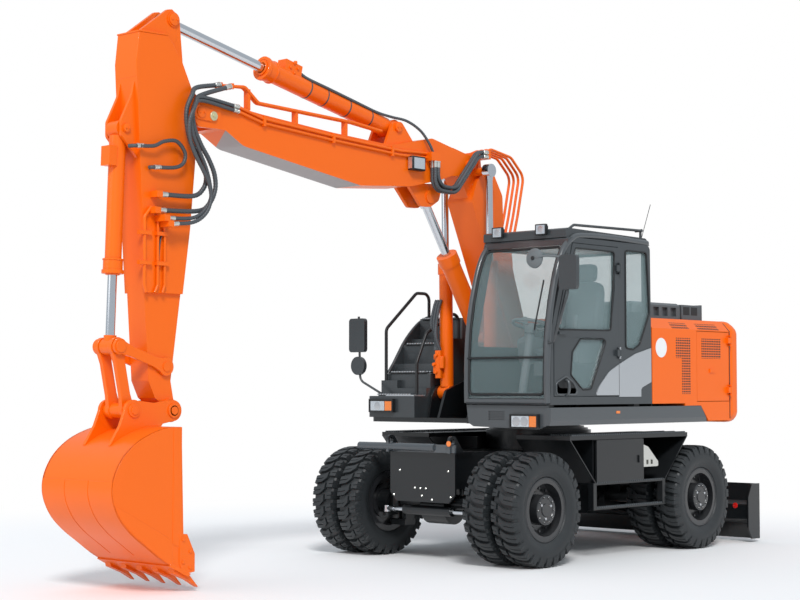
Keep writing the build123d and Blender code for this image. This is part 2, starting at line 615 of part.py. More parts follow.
def body_panels():
    """Side panels, shoulder and hood deck over the engine bay, all on the upper frame."""
    inside = UPPER_HALF - PANEL_WALL
    shell = [(UPPER_HALF, PANEL_BOTTOM), (UPPER_HALF, SHOULDER_Z), (UPPER_HALF - 95, HOOD_Z),
             (UPPER_HALF - 240, HOOD_Z),
             (UPPER_HALF - 240, HOOD_Z - PANEL_WALL), (UPPER_HALF - 110, HOOD_Z - PANEL_WALL),
             (inside, SHOULDER_Z - 15), (inside, PANEL_BOTTOM)]
    left = front(shell, SEAM_X, CAB_REAR - 8)
    left -= block((SEAM_X + 24, -1080), (inside - 60, UPPER_HALF + 1), (PANEL_BOTTOM + 15, SHOULDER_Z - 10))
    grille_high = block((-960, -690), (inside - 1, UPPER_HALF + 1), (1945, 2145))
    grille_leg = block((-960, -805), (inside - 1, UPPER_HALF + 1), (1585, 1950))
    left -= grille_high + grille_leg
    left += block((-960, -690), (inside + 2, inside + 8), (1940, 2150)) + block((-960, -805),
                                                                                (inside + 2,
                                                                                 inside + 8), (1580, 1945))
    for k in range(7):
        z = 1960 + k * 26
        left += block((-962, -688), (inside + 6, UPPER_HALF - 6), (z, z + 10))
    for k in range(13):
        z = 1594 + k * 26
        left += block((-962, -803), (inside + 6, UPPER_HALF - 6), (z, z + 10))
    left += block((SEAM_X, -860), (900, UPPER_HALF), (SKIRT_TOP + 2, PANEL_BOTTOM + 10))
    corner = side([(SEAM_X, DECK_BOTTOM + 2), (-1296, DECK_BOTTOM + 2), (-1156, SKIRT_TOP),
                   (-1156, PANEL_BOTTOM + 8),
                   (SEAM_X, PANEL_BOTTOM + 8)], DECK_HALF + FIT, UPPER_HALF)
    left += corner
    fixed, moving = leaf_hinges(SERVICE_HINGE_X, (1620, 2140))
    save("side_panel_left", left + fixed)
    right = mirrored(front(shell, SEAM_X, 300))
    right -= block((SEAM_X + 24, -700), (-UPPER_HALF - 1, -inside + 60),
                   (PANEL_BOTTOM + 15, SHOULDER_Z - 10))
    right += block((265, 300), (-UPPER_HALF + 5, -520), (PANEL_BOTTOM, HOOD_Z - PANEL_WALL))
    right += block((SEAM_X, -860), (-UPPER_HALF, -900), (SKIRT_TOP + 2, PANEL_BOTTOM + 10))
    right += mirrored(corner)
    save("side_panel_right", right + mirrored(fixed))
    for name, x1, turn in (("service_door_left", -1080, 1), ("service_door_right", -700, -1)):
        door = block((SERVICE_HINGE_X + DOOR_GAP, x1 - DOOR_GAP), (inside, UPPER_HALF - 1),
                     (PANEL_BOTTOM + 21, SHOULDER_Z - 16))
        gx = (-1540, -1180)
        door -= block(gx, (inside + 12, UPPER_HALF + 1), (1950, 2150))
        for k in range(7):
            z = 1964 + k * 26
            door += block((gx[0] - 1, gx[1] + 1), (inside + 10, UPPER_HALF - 6), (z, z + 10))
        door += block((-1420, -1320), (UPPER_HALF - 2, UPPER_HALF + 10), (1800, 1840))
        door += moving
        save(name, door if turn > 0 else mirrored(door))
    top = (HOOD_Z - PANEL_WALL, HOOD_Z)
    deck = block((SEAM_X, CAB_REAR - 10), (300, UPPER_HALF - 240), top)
    deck += block((-410, 300), (-UPPER_HALF + 240, -520), top)
    deck += front([(-1128, DECK_TOP), (-440, DECK_TOP), (-440, 1800), (40, 1800), (40, DECK_TOP),
                   (1128, DECK_TOP),
                   (1128, 2240), (984, top[0] - FIT), (984, top[0] + 1), (-984, top[0] + 1),
                   (-984, top[0] - FIT), (-1128, 2240)], -410, -385)
    hood = block((SEAM_X + 6, -420), (-UPPER_HALF + 246, 294), (HOOD_Z - 25, HOOD_Z + 30))
    hood -= block((SEAM_X + 40, -454), (-UPPER_HALF + 280, 260), (HOOD_Z - 26, HOOD_Z + 5))
    hood = chamfer(hood.edges().filter_by_position(Axis.Z, HOOD_Z + 29, HOOD_Z + 31), 20)
    hinge_x, hinge_z = HOOD_HINGE
    deck += block((-410, -330), (-UPPER_HALF + 240, 300), top)
    for y in (-800, 100):
        hood += block((-450, hinge_x), (y - 30, y + 30), (HOOD_Z + 8, HOOD_Z + 30))
        hood += boss(HOOD_HINGE, 18, y - 30, y + 30)
        hood -= boss(HOOD_HINGE, HINGE_PIN_R + PIN_GAP, y - 31, y + 31)
        deck += boss(HOOD_HINGE, HINGE_PIN_R, y - 50, y + 50)
        for low in (y - 50, y + 36):
            deck += boss(HOOD_HINGE, 16, low, low + 14)
            deck += block((hinge_x - 12, hinge_x + 12), (low, low + 14), (HOOD_Z - 5, hinge_z))
    save("engine_hood", hood)
    vent = block((-1180, -300), (420, 960), (HOOD_Z - 5, 2520))
    vent = chamfer(vent.edges().filter_by_position(Axis.Z, 2519, 2521), 25)
    for k in range(5):
        x = -1110 + k * 160
        vent -= block((x, x + 110), (930, 961), (2385, 2475))
    save("hood_deck", deck + vent)
    engine = block((-1620, -960), (-620, 620), (DECK_TOP + 60, 2150))
    engine += block((-1560, -1020), (-560, -500), (DECK_TOP, DECK_TOP + 62))
    engine += block((-1560, -1020), (500, 560), (DECK_TOP, DECK_TOP + 62))
    save("engine_block", engine)
    skirt = front([(1130, DECK_TOP), (1190, DECK_BOTTOM - 8), (1212, DECK_BOTTOM - 8), (1228, 1340),
                   (1228, SKIRT_TOP),
                   (1130, SKIRT_TOP)], -1280, CAB_FRONT)
    rear_cut = side([(-1300, SKIRT_TOP + 1), (-1150, SKIRT_TOP + 1), (-1290, DECK_BOTTOM - 20),
                     (-1300, DECK_BOTTOM - 20)], 1100, 1230)
    skirt -= rear_cut
    skirt -= block((-1400, CAB_FRONT - 30 + FIT), (1100, DECK_HALF + FIT), (DECK_BOTTOM - 20, DECK_TOP))
    apron = front([(215, 1478), (240, 1309), (300, 1275), (1077, 1256, 20), (1190, 1300), (1190, 1478)],
                  CAB_FRONT - 30 + FIT, CAB_FRONT)
    for k in range(6):
        z = 1340 + k * 15
        apron -= block((CAB_FRONT - 12, CAB_FRONT + 1), (487, 682), (z, z + 7))
    skirt += apron
    low = mirrored(front([(1130, DECK_TOP), (DECK_HALF + FIT, DECK_TOP),
                          (DECK_HALF + FIT, DECK_BOTTOM - 8), (1212, DECK_BOTTOM - 8),
                          (1228, 1340), (1228, SKIRT_TOP), (1130, SKIRT_TOP)], -1280, 300))
    low -= mirrored(rear_cut)
    save("skirts", skirt + low)


def tank():
    """Fuel and hydraulic tanks with the steps up the machine's right front corner."""
    y = (-UPPER_HALF + 5, -602)
    body = block((310, 1060), y, (DECK_TOP, 1640))
    body += block((310, 900), y, (1640, 1890))
    body += block((310, 640), y, (1890, 2150))
    body += block((900, 1060), (y[0], -1000), (1640, 1720))
    body += block((1060, 1240), y, (DECK_TOP, 1560))
    save("tank_box", body)
    outer = -UPPER_HALF + 45
    rail = tube([(1030, outer, 1720 + FIT), (1030, outer, 2250), (560, outer, 2640), (360, outer, 2640),
                 (360, outer, 2150 + FIT)],
                17, [80, 80, 80])
    rail += tube([(1150, -650, 1560 + FIT), (1150, -650, 1900), (1000, -650, 2200), (500, -650, 2450),
                  (500, -650, 2150 + FIT)],
                 17, [80, 80, 80])
    save("handrails", rail)


def lamps():
    """Head lamps on the front corners and work lamps on the cab roof."""
    houses = None
    for x, y, low in ((CAB_FRONT, UPPER_HALF - 450, 1262), (1240, -UPPER_HALF + 35, 1395)):
        house = block((x + FIT, x + 45), (y, y + 330), (low, low + 136))
        house -= block((x + 33, x + 46), (y + 14, y + 316), (low + 14, low + 122))
        houses = house if houses is None else houses + house
    work = None
    for y in (420, 1010):
        one = rod((1000, y, 3232), (1070, y, 3232), 62)
        one += block((1020, 1050), (y - 14, y + 14), (3149.7, 3190))
        work = one if work is None else work + one
    save("lamps", houses + work)


# Cab
CAB_SIDE = [(CAB_REAR, PANEL_BOTTOM), (CAB_FRONT, PANEL_BOTTOM), (CAB_FRONT, 2120, 120),
            (1110, CAB_TOP, 30),
            (-240, CAB_TOP, 60)]
CAB_ROOM = [(CAB_REAR + CAB_WALL, 1560), (CAB_FRONT - CAB_WALL, 1560), (CAB_FRONT - CAB_WALL, 2110, 100),
            (1085, 3000), (-200, 3000)]


def cab():
    shell = side(CAB_SIDE, CAB_RIGHT, UPPER_HALF)
    shell -= side(CAB_ROOM, CAB_RIGHT + CAB_WALL, UPPER_HALF - CAB_WALL)
    doorway = [(DOOR_HINGE_X, 1560), (DOOR_FRONT_X, 1560), (DOOR_FRONT_X, 2110, 80), (1055, 3010),
               (DOOR_HINGE_X, 3010)]
    shell -= side(doorway, UPPER_HALF - CAB_WALL - 1, UPPER_HALF + 1)
    quarter = [(190, 2990, 25), (-165, 2990, 25), (95, 2040, 25), (190, 2040, 25)]
    shell -= side(quarter, UPPER_HALF - CAB_WALL - 1, UPPER_HALF + 1)
    right_window = [(-130, 2040, 40), (1290, 2040, 40), (1040, 2980, 40), (-130, 2980, 40)]
    shell -= side(right_window, CAB_RIGHT - 1, CAB_RIGHT + CAB_WALL + 1)
    shell -= block((1000, CAB_FRONT + 1), (CAB_RIGHT + 60, UPPER_HALF - 60), (2250, 2985))
    shell -= block((CAB_FRONT - CAB_WALL - 1, CAB_FRONT + 1), (CAB_RIGHT + 60, UPPER_HALF - 60),
                   (1800, 2170))
    shell -= block((CAB_REAR - 1, -150), (CAB_RIGHT + 80, UPPER_HALF - 80), (2400, 2980))
    fixed, moving = leaf_hinges(DOOR_HINGE_X, CAB_HINGE_Z)
    wing = [(DOOR_HINGE_X, 1556), (DOOR_HINGE_X, 1872), (40, 1975, 300), (-238, 2037), (-238, 1700),
            (-60, 1640, 40),
            (-60, 1556)]
    shell = shell.solids().sort_by(SortBy.VOLUME)[-1] + side(wing, UPPER_HALF - 2, UPPER_HALF + 9)
    save("cab_frame", Part() + shell + fixed)
    roof = side([(-280, CAB_TOP + 0.3), (1140, CAB_TOP + 0.3), (1150, 3110, 30), (1090, 3150, 30),
                 (-220, 3130, 60)],
                CAB_RIGHT - 15, UPPER_HALF + 10)
    roof += block((300, 900), (CAB_RIGHT + 220, UPPER_HALF - 220), (3130, 3165))
    rail_y = UPPER_HALF - 50
    roof += tube([(1080, rail_y, 3120), (960, rail_y, 3185), (-150, rail_y, 3205)], 13, [60])
    roof += rod((-150, rail_y, 3205), (-150, rail_y, 3110), 13) + rod((-150, rail_y - 60, 3205),
                                                                      (-150, rail_y + 20, 3205), 15)
    save("cab_roof", roof)
    rear_x = CAB_REAR + 12
    panes = side([(rear_x, 2400 + FIT), (rear_x + GLASS, 2400 + FIT), (rear_x + 18, 2980 - FIT),
                  (rear_x + 12, 2980 - FIT)],
                 CAB_RIGHT + 80 + FIT, UPPER_HALF - 80 - FIT)
    panes += pane(right_window, CAB_RIGHT + 15, CAB_RIGHT + 15 + GLASS)
    panes += pane(quarter, UPPER_HALF - 15 - GLASS, UPPER_HALF - 15)
    across = (CAB_RIGHT + 60 + FIT, UPPER_HALF - 60 - FIT)
    panes += block((CAB_FRONT - 32, CAB_FRONT - 32 + GLASS), across, (1800 + FIT, 2170 - FIT))
    panes += side([(1340, 2250 + FIT), (1347, 2250 + FIT), (1118, 2985 - FIT), (1111, 2985 - FIT)],
                  across[0], across[1])
    save("cab_glass", panes)


def cab_door():
    y0 = UPPER_HALF - DOOR_WALL + 4
    y1 = UPPER_HALF + 4
    g = DOOR_GAP
    edge = [(DOOR_HINGE_X + g, 1560 + g), (DOOR_FRONT_X - g, 1560 + g), (DOOR_FRONT_X - g, 2108, 80),
            (1048, 3010 - g), (DOOR_HINGE_X + g, 3010 - g)]
    door = side(edge, y0, y1)
    upper = [(440, 2195, 30), (1295, 2185, 30), (1010, 2960, 30), (370, 2960, 30), (370, 2600)]
    lower = [(520, 2120, 40), (1290, 2120, 40), (1290, 1640, 60), (760, 1640, 60)]
    door -= side(upper, y0 - 1, y1 + 1)
    door -= side(lower, y0 - 1, y1 + 1)
    wing = [(DOOR_HINGE_X + 14, 1572), (699, 1572, 10), (640, 1665, 200), (480, 1800, 300),
            (DOOR_HINGE_X + 14, 1868)]
    door += side(wing, y0 + 30, y1 + 9)
    door += block((1180, 1290), (y1, y1 + 22), (2138, 2165))
    fixed, moving = leaf_hinges(DOOR_HINGE_X, CAB_HINGE_Z)
    save("cab_door", door + moving)
    panes = pane(upper, y0 + 18, y0 + 18 + GLASS) + pane(lower, y0 + 18, y0 + 18 + GLASS)
    save("door_glass", panes)


def cab_inside():
    floor_z = 1560
    mid = (CAB_RIGHT + UPPER_HALF) / 2
    base = block((250, 620), (mid - 170, mid + 170), (floor_z, 1760)) + block((200, 700),
                                                                              (mid - 230, mid + 230),
                                                                              (1760, 1900))
    for sign in (-1, 1):
        y = sorted((mid + sign * 250, mid + sign * 360))
        base += side([(150, 1880), (760, 1880, 30), (800, 2110, 40), (700, 2150, 40), (150, 2080, 40)],
                     y[0], y[1])
        y_mid = mid + sign * 305
        base += rod((720, y_mid, 2120), (735, y_mid, 2300), 16) + rod((728, y_mid, 2220),
                                                                      (740, y_mid, 2340), 24)
        base += block((150, 350), (min(mid, y_mid), max(mid, y_mid)), (1860, 1899))
    cushion = block((210, 720), (mid - 240, mid + 240), (1900.3, 2030))
    cushion = fillet(cushion.edges().filter_by(Axis.Z), 60)
    back = side([(160, 2030.6), (290, 2030.6), (200, 2700, 40), (90, 2700, 40)], mid - 230, mid + 230)
    back += side([(95, 2690), (195, 2690), (180, 2880, 30), (85, 2880, 30)], mid - 130, mid + 130)
    save("seat_cushions", cushion + back)
    column = block((1110, 1260), (mid - 80, mid + 80), (floor_z, floor_z + 40))
    column += rod((1178, mid, floor_z + 20), (1040, mid, 2180), 38)
    column += rod((1050, mid, 2160), (1030, mid, 2230), 60)
    wheel = Pos(1024, mid, 2250) * Rot(0, -14, 0) * Torus(185, 15)
    wheel += Pos(1024, mid, 2243) * Rot(0, -14, 0) * Cylinder(40, 26)
    for turn in (90, 210, 330):
        wheel += Pos(1024, mid, 2250) * Rot(0, -14, 0) * Rot(0, 0, turn) * Pos(95, 0, 0) * Box(180, 26, 10)
    column += wheel
    column += block((1060, 1300), (mid - 300, mid - 180), (floor_z, floor_z + 30))
    column += block((1060, 1300), (mid + 180, mid + 300), (floor_z, floor_z + 30))
    save("cab_controls", base + column)


def mirrors():
    """Mirrors on tube arms at both front corners."""
    x, y = CAB_FRONT + 35, UPPER_HALF + 230
    arm = tube([(CAB_FRONT + 15, UPPER_HALF - 25, 2060), (x, UPPER_HALF + 60, 2060), (x, y, 2500),
                (x, y, 2880)],
               11, [40, 90])
    plate = block((x - 23, x + 23), (y - 85, y + 115), (2540, 2860))
    plate = fillet(plate.edges().filter_by(Axis.X), 35)
    left = arm + plate
    left += block((CAB_FRONT + 0.3, CAB_FRONT + 30), (UPPER_HALF - 60, UPPER_HALF), (2040, 2080))
    foot, y = -UPPER_HALF + 75, -UPPER_HALF - 185
    arm = tube([(1150, foot, 1590), (1200, y + 20, 1720), (1200, y, 2380)], 12, [90])
    plate = block((1177, 1223), (y - 120, y + 100), (2010, 2360))
    plate = fillet(plate.edges().filter_by(Axis.X), 35)
    right = arm + plate
    right += rod((1180, y, 1870), (1220, y, 1870), 95)
    right += rod((1150, foot, 1560 + FIT), (1150, foot, 1600), 22)
    save("mirrors", left + right)


# Working equipment
def lower_boom():
    half = BOOM_HALF
    fx, fz = BOOM_FOOT
    wide = [(fx - 60, fz - 70, 60), (fx + 110, fz - 40, 80), (832, 3114), (1010, 3500, 60),
            (930, 3690, 40), (810, 3840, 40),
            (667, 3803, 60), (525, 3588, 100), (512, 3271), (fx - 110, fz + 60, 80)]
    boom = side(wide, BOOM_Y - half, BOOM_Y + half)
    head = [(690, 3750), (960, 3480), (1170, 3800, 90), (1090, 3975, 90), (930, 3960, 60)]
    boom += side(head, BOOM_Y - 100, BOOM_Y + 100)
    boom += boss(BOOM_FOOT, 95, BOOM_Y - 170, BOOM_Y + 170)
    boom -= boss(BOOM_FOOT, PIN_R + 5 + PIN_GAP, BOOM_Y - 171, BOOM_Y + 171)
    boom -= boss(FOLD_PIN, PIN_R + 5 + PIN_GAP, BOOM_Y - 101, BOOM_Y + 101)
    boom += boss(BOOM_RAM_EYE, 42, BOOM_Y - BOOM_RAM_Y + 46, BOOM_Y + BOOM_RAM_Y - 46)
    rx, rz = FOLD_RAM_FOOT
    for low, high in ((104, 134), (-134, -104)):
        boom += side([(330, rz - 180), (rx + 20, rz - 75, 60), (rx + 70, rz + 40, 60), (620, 2680),
                      (520, 2450)],
                     BOOM_Y + low, BOOM_Y + high)
    boom += boss(FOLD_RAM_FOOT, PIN_R, BOOM_Y - 140, BOOM_Y + 140)
    save("lower_boom", boom + lower_pipes())


def upper_boom():
    half = BOOM_HALF
    fx, fz = FOLD_PIN
    box = [(1240, 3985), (1608, 4060, 120), (2193, 3931, 900), (2981, 3964), (3868, 4026), (4123, 4051),
           (4400, 4070),
           (4400, 3838), (4280, 3838), (4076, 3725, 200), (2611, 3512), (1905, 3566, 500),
           (1500, 3660, 200), (1240, 3745)]
    boom = side(box, BOOM_Y - half, BOOM_Y + half)
    cheeks = [(1300, 3720), (1300, 4000), (fx, fz + 100, 60), (fx - 95, fz, 90), (fx, fz - 100, 60)]
    knee = [(1380, 3640), (1440, 3470, 60), (1560, 3400, 60), (1700, 3395, 60), (1900, 3600)]
    nose = [(4350, 3838), (4350, 4070), (4570, 4061, 60), (4650, 3940, 70), (4610, 3830, 60)]
    for low, high in ((BOOM_HALF - CHEEK, BOOM_HALF), (-BOOM_HALF, -BOOM_HALF + CHEEK)):
        boom += side(cheeks, BOOM_Y + low, BOOM_Y + high)
    for low, high in ((66, 100), (-100, -66)):
        boom += side(knee, BOOM_Y + low, BOOM_Y + high)
    boom -= side([(1330, 3300), (1330, 3690), (1800, 3690), (1800, 3300)], BOOM_Y - 66, BOOM_Y + 66)
    boom += boss(FOLD_RAM_EYE, PIN_R + 20, BOOM_Y + 99, BOOM_Y + 112) + boss(FOLD_RAM_EYE, PIN_R + 20,
                                                                             BOOM_Y - 112, BOOM_Y - 99)
    for low, high in ((ARM_HALF + SIDE_GAP, ARM_HALF + 36), (-ARM_HALF - 36, -ARM_HALF - SIDE_GAP)):
        boom += side(nose, BOOM_Y + low, BOOM_Y + high)
    boom += boss(FOLD_PIN, PIN_R + 5, BOOM_Y - half - 14, BOOM_Y + half + 14)
    boom += boss(ARM_PIN, PIN_R, BOOM_Y - ARM_HALF - 46, BOOM_Y + ARM_HALF + 46)
    ax, az = ARM_RAM_FOOT
    for low, high in ((98, 128), (-128, -98)):
        boom += side([(ax - 260, 3960), (ax - 60, az + 55, 60), (ax + 60, az + 55, 60), (ax + 190, 3900)],
                     BOOM_Y + low, BOOM_Y + high)
    boom += boss(ARM_RAM_FOOT, PIN_R, BOOM_Y - 140, BOOM_Y + 140)
    save("upper_boom", boom + boom_pipes())


def boom_pipes():
    """Steel pipes along the upper boom with their clamps, and the work lamp bracket."""
    near = BOOM_Y + BOOM_HALF + 17
    shape = None
    for drop in (0, 40):
        run = [(4145, near, 4052 - drop), (3850, near, 3985 - drop), (2990, near, 3930 - drop),
               (2100, near, 3888 - drop), (1700, near, 3900 - drop)]
        pipe = tube(run, 13, [400, 400, 400])
        shape = pipe if shape is None else shape + pipe
    for x, z in ((3850, 3965), (2990, 3910), (2200, 3871)):
        shape += block((x - 14, x + 14), (near - 19, near + 16), (z - 45, z + 45))
    for y, end in ((BOOM_Y + 125, 4300), (BOOM_Y + 160, 4202)):
        shape += tube([(end, y, 4226), (4060, y, 4240), (3900, y, 4120), (2713, y, 4087),
                       (2330, y, 4050)], 14, [60, 60, 300])
    for x, y in ((4310, BOOM_Y + 125), (4212, BOOM_Y + 160)):
        shape += rod((x, y, 4203), (x, y, 4249), 20)
    for x, z in ((4010, 4215), (3434, 4108), (2800, 4090)):
        shape += block((x - 16, x + 16), (BOOM_Y + 108, BOOM_Y + 160), (z - 170, z + 12))
    shape += block((1790, 1960), (BOOM_Y + BOOM_HALF - 2, BOOM_Y + BOOM_HALF + 70), (3725, 3845))
    shape += block((1572, 1710), (BOOM_Y + BOOM_HALF - 2, BOOM_Y + BOOM_HALF + 86), (3830, 3912))
    return shape


def hoses():
    """Hydraulic hoses over the two boom joints; they bend when the joints move."""
    save("arm_hoses", Part() + [tube(points, radius, bends) for points, radius, bends in ARM_HOSES])
    save("fold_hoses", Part() + [tube(points, radius, bends) for points, radius, bends in FOLD_HOSES])


def lower_pipes():
    """Steel pipes that stand off the back of the lower boom."""
    shape = None
    for k in range(4):
        y = BOOM_Y - 90 + k * 60
        pipe = tube([(850, y, 3975), (620, y, 4060), (300, y, 4010), (90, y, 3830), (190, y, 3420),
                     (330, y, 2950)],
                    14, [90, 120, 120, 160])
        shape = pipe if shape is None else shape + pipe
    shape += side([(300, 2880), (420, 2880), (440, 2980), (310, 2990)], BOOM_Y - 112, BOOM_Y + 112)
    shape += side([(780, 3700), (870, 3700), (850, 3900), (850, 3990), (825, 3990)], BOOM_Y - 112,
                  BOOM_Y + 112)
    shape += block((815, 850), (BOOM_Y - 112, BOOM_Y + 246), (3925, 4010))
    return shape


def arm():
    px, pz = ARM_PIN
    box = [(4767, 4399), (4955, 4500, 60), (5234, 4300, 120), (5179, 3344), (5060, 1700), (4990, 1560),
           (BUCKET_PIN[0] + 70, BUCKET_PIN[1] + 60), (BUCKET_PIN[0] - 60, BUCKET_PIN[1] + 60),
           (4828, 1700), (4711, 2539),
           (4652, 2964), (4601, 3526), (4590, 3860), (4600, 4060), (4642, 4146)]
    stick = side(box, BOOM_Y - ARM_HALF, BOOM_Y + ARM_HALF)
    narrow = block((4600, 5400), (BOOM_Y - 300, BOOM_Y + 300), (1300, ARM_STEP_Z))
    narrow -= block((4600, 5400), (BOOM_Y - TIP_HALF, BOOM_Y + TIP_HALF), (1300, ARM_STEP_Z))
    stick -= narrow
    stick += side([(px - 105, pz, 95), (px, pz - 105, 95), (4650, pz - 105), (4720, 4300), (4642, 4146),
                   (px, pz + 105, 95)],
                  BOOM_Y - ARM_HALF, BOOM_Y + ARM_HALF)
    stick -= boss(ARM_PIN, PIN_R + PIN_GAP, BOOM_Y - ARM_HALF - 1, BOOM_Y + ARM_HALF + 1)
    stick += boss(BUCKET_PIN, 95, BOOM_Y - 141, BOOM_Y + 141)
    stick -= boss(BUCKET_PIN, PIN_R - 5 + PIN_GAP, BOOM_Y - 142, BOOM_Y + 142)
    ex, ez = ARM_RAM_EYE
    for low, high in ((66, 100), (-100, -66)):
        stick += side([(4700, 4260), (ex - 70, ez + 20, 60), (ex + 10, ez + 80, 60), (4955, 4600, 60),
                       (5200, 4400)],
                      BOOM_Y + low, BOOM_Y + high)
        stick += boss(ARM_RAM_EYE, PIN_R + 18, BOOM_Y + (99 if low > 0 else -112),
                      BOOM_Y + (112 if low > 0 else -99))
    stick -= side([(4500, 4320), (4700, 4330), (4950, 4390), (5250, 4420), (5400, 4800), (4500, 4800)],
                  BOOM_Y - 66, BOOM_Y + 66)
    bx, bz = BUCKET_RAM_FOOT
    for low, high in ((76, 104), (-104, -76)):
        stick += side([(5160, bz - 260), (bx + 50, bz - 60, 50), (bx + 50, bz + 60, 50), (5248, 4030, 200),
                       (5190, 4320)], BOOM_Y + low, BOOM_Y + high)
    stick += boss(BUCKET_RAM_FOOT, 38, BOOM_Y - 112, BOOM_Y + 112)
    y = BOOM_Y + ARM_HALF + 17
    for points, radius in ARM_PIPES:
        stick += tube([(x, y, z) for x, z in points], radius, [40] * (len(points) - 2))
    for x, z in ((4970, 2905), (4970, 2660), (5150, 2905), (5150, 2660)):
        stick += block((x - 62, x + 62), (y - 20, y + 18), (z - 16, z + 16))
    for x, z, end_y in ARM_PORTS:
        stick += block((x, x + 60), (y - 20, end_y + 24), (z - 26, z + 26))
    rocker_outer = TIP_HALF + SIDE_GAP + ROCKER_PLATE
    stick += boss(ROCKER_PIN, 40, BOOM_Y - rocker_outer - 8, BOOM_Y + rocker_outer + 8)
    save("arm", stick)


def bucket_linkage():
    inner = TIP_HALF + SIDE_GAP
    outer = inner + ROCKER_PLATE
    kx, kz = ROCKER_PIN
    gx, gz = LINK_PIN
    rocker = None
    for sign in (-1, 1):
        plate = side([(kx - 75, kz - 45, 60), (kx + 20, kz - 80, 60), (gx + 60, gz - 50, 50),
                      (gx + 45, gz + 60, 50),
                      (kx - 45, kz + 75, 60)], BOOM_Y + inner if sign > 0 else BOOM_Y - outer,
                     BOOM_Y + outer if sign > 0 else BOOM_Y - inner)
        plate -= boss(ROCKER_PIN, 40 + PIN_GAP, BOOM_Y - 200, BOOM_Y + 200)
        stub = sorted((BOOM_Y + sign * 62, BOOM_Y + sign * (outer + 8)))
        plate += boss(LINK_PIN, 36, stub[0], stub[1])
        rocker = plate if rocker is None else rocker + plate
    save("bucket_rocker", rocker)
    hx, hz = BUCKET_LINK_PIN
    link = None
    for low, high in ((64, 108), (-108, -64)):
        plate = side([(gx - 70, gz + 20, 60), (gx + 10, gz + 75, 60), (gx + 75, gz - 10, 60),
                      (hx + 60, hz, 50),
                      (hx - 20, hz - 55, 50), (hx - 60, hz + 10, 50)], BOOM_Y + low, BOOM_Y + high)
        plate -= boss(LINK_PIN, 36 + PIN_GAP, BOOM_Y - 200, BOOM_Y + 200)
        link = plate if link is None else link + plate
    link += boss(BUCKET_LINK_PIN, 62, BOOM_Y - 141, BOOM_Y + 141)
    save("bucket_link", link)


def bucket():
    shell = [(5000, 1330), (5300, 1290, 150), (5560, 1180, 120), (5690, 980, 120), (5690, 780, 120),
             (5560, 540, 200),
             (5200, 285), (4965, 150), (4965, 175), (5000, 205)]
    wall = BUCKET_WALL
    hollow = [(4900, 1330 - wall), (5300, 1290 - wall - 3, 140), (5545, 1165, 110), (5690 - wall, 975, 105),
              (5690 - wall, 790, 105), (5545, 565, 180), (5190, 312), (4990, 205), (4900, 205)]
    body = side(shell, BOOM_Y - BUCKET_HALF, BOOM_Y + BUCKET_HALF)
    body -= side(hollow, BOOM_Y - BUCKET_HALF + wall, BOOM_Y + BUCKET_HALF - wall)
    for low, high in ((BUCKET_HALF - wall, BUCKET_HALF), (-BUCKET_HALF, -BUCKET_HALF + wall)):
        cutter = [(4985, 150), (4860, 165, 20), (4860, 290, 30), (5005, 500), (5010, 205)]
        body += side(cutter, BOOM_Y + low, BOOM_Y + high)
    body += side([(4930, 128), (4900, 150), (5100, 250), (5120, 225)], BOOM_Y - BUCKET_HALF - 8,
                 BOOM_Y + BUCKET_HALF + 8)
    pitch = (2 * BUCKET_HALF - 110) / (TEETH - 1)
    for k in range(TEETH):
        y = BOOM_Y - BUCKET_HALF + 55 + k * pitch
        tooth = side([(4795, 32), (4990, 120), (4990, 195), (4880, 165)], y - 38, y + 38)
        body += tooth
    hinge_x, hinge_z = BUCKET_PIN
    hx, hz = BUCKET_LINK_PIN
    ear = [(hinge_x - 85, hinge_z - 60, 70), (hinge_x - 50, hinge_z + 85, 70),
           (hinge_x + 60, hinge_z + 80, 60),
           (hx - 40, hz + 70, 60), (hx + 75, hz + 40, 60), (5440, 1240), (5010, 1290)]
    for low, high in ((147, 147 + EAR_PLATE), (-147 - EAR_PLATE, -147)):
        body += side(ear, BOOM_Y + low, BOOM_Y + high)
    body += boss(BUCKET_PIN, PIN_R - 5, BOOM_Y - 190, BOOM_Y + 190)
    body += boss(BUCKET_LINK_PIN, 56, BOOM_Y + 147, BOOM_Y + 190) + boss(BUCKET_LINK_PIN, 56,
                                                                         BOOM_Y - 190, BOOM_Y - 147)
    save("bucket", body)


def rams():
    """The boom, positioning, arm and bucket cylinders."""
    barrels, rods = None, None
    for sign in (-1, 1):
        barrel, piston = ram(BOOM_RAM_FOOT, BOOM_RAM_EYE, BOOM_Y + sign * BOOM_RAM_Y, 68, 36, 1300, 280,
                             70, 40, 38)
        barrels = barrel if barrels is None else barrels + barrel
        rods = piston if rods is None else rods + piston
    save("boom_ram_barrels", barrels)
    save("boom_ram_rods", rods)
    single = [
        # name, foot, eye, barrel radius, rod radius, head, rod inside, foot half, eye half, pin radius
        ("fold_ram", FOLD_RAM_FOOT, FOLD_RAM_EYE, 94, 44, 945, 600, 98, 60, PIN_R),
        ("arm_ram", ARM_RAM_FOOT, ARM_RAM_EYE, 88, 45, 1680, 720, 92, 60, PIN_R),
        ("bucket_ram", BUCKET_RAM_FOOT, LINK_PIN, 68, 38, 1180, 700, 70, 55, 38),
    ]
    for name, foot, eye, barrel_r, rod_r, head, inside, foot_half, eye_half, pin_r in single:
        barrel, piston = ram(foot, eye, BOOM_Y, barrel_r, rod_r, head, inside, foot_half, eye_half, pin_r)
        if name in VALVES:
            barrel += side(VALVES[name], BOOM_Y - 45, BOOM_Y + 65)
        save(f"{name}_barrel", barrel)
        save(f"{name}_rod", piston)


wheels()
front_axle()
rear_axle()
knuckles()
drive_line()
chassis()
front_guard()
side_steps()
blade()
upper_frame()
counterweight()
body_panels()
tank()
lamps()
cab()
cab_door()
cab_inside()
mirrors()
lower_boom()
upper_boom()
arm()
bucket_linkage()
bucket()
rams()
hoses()
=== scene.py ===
import math

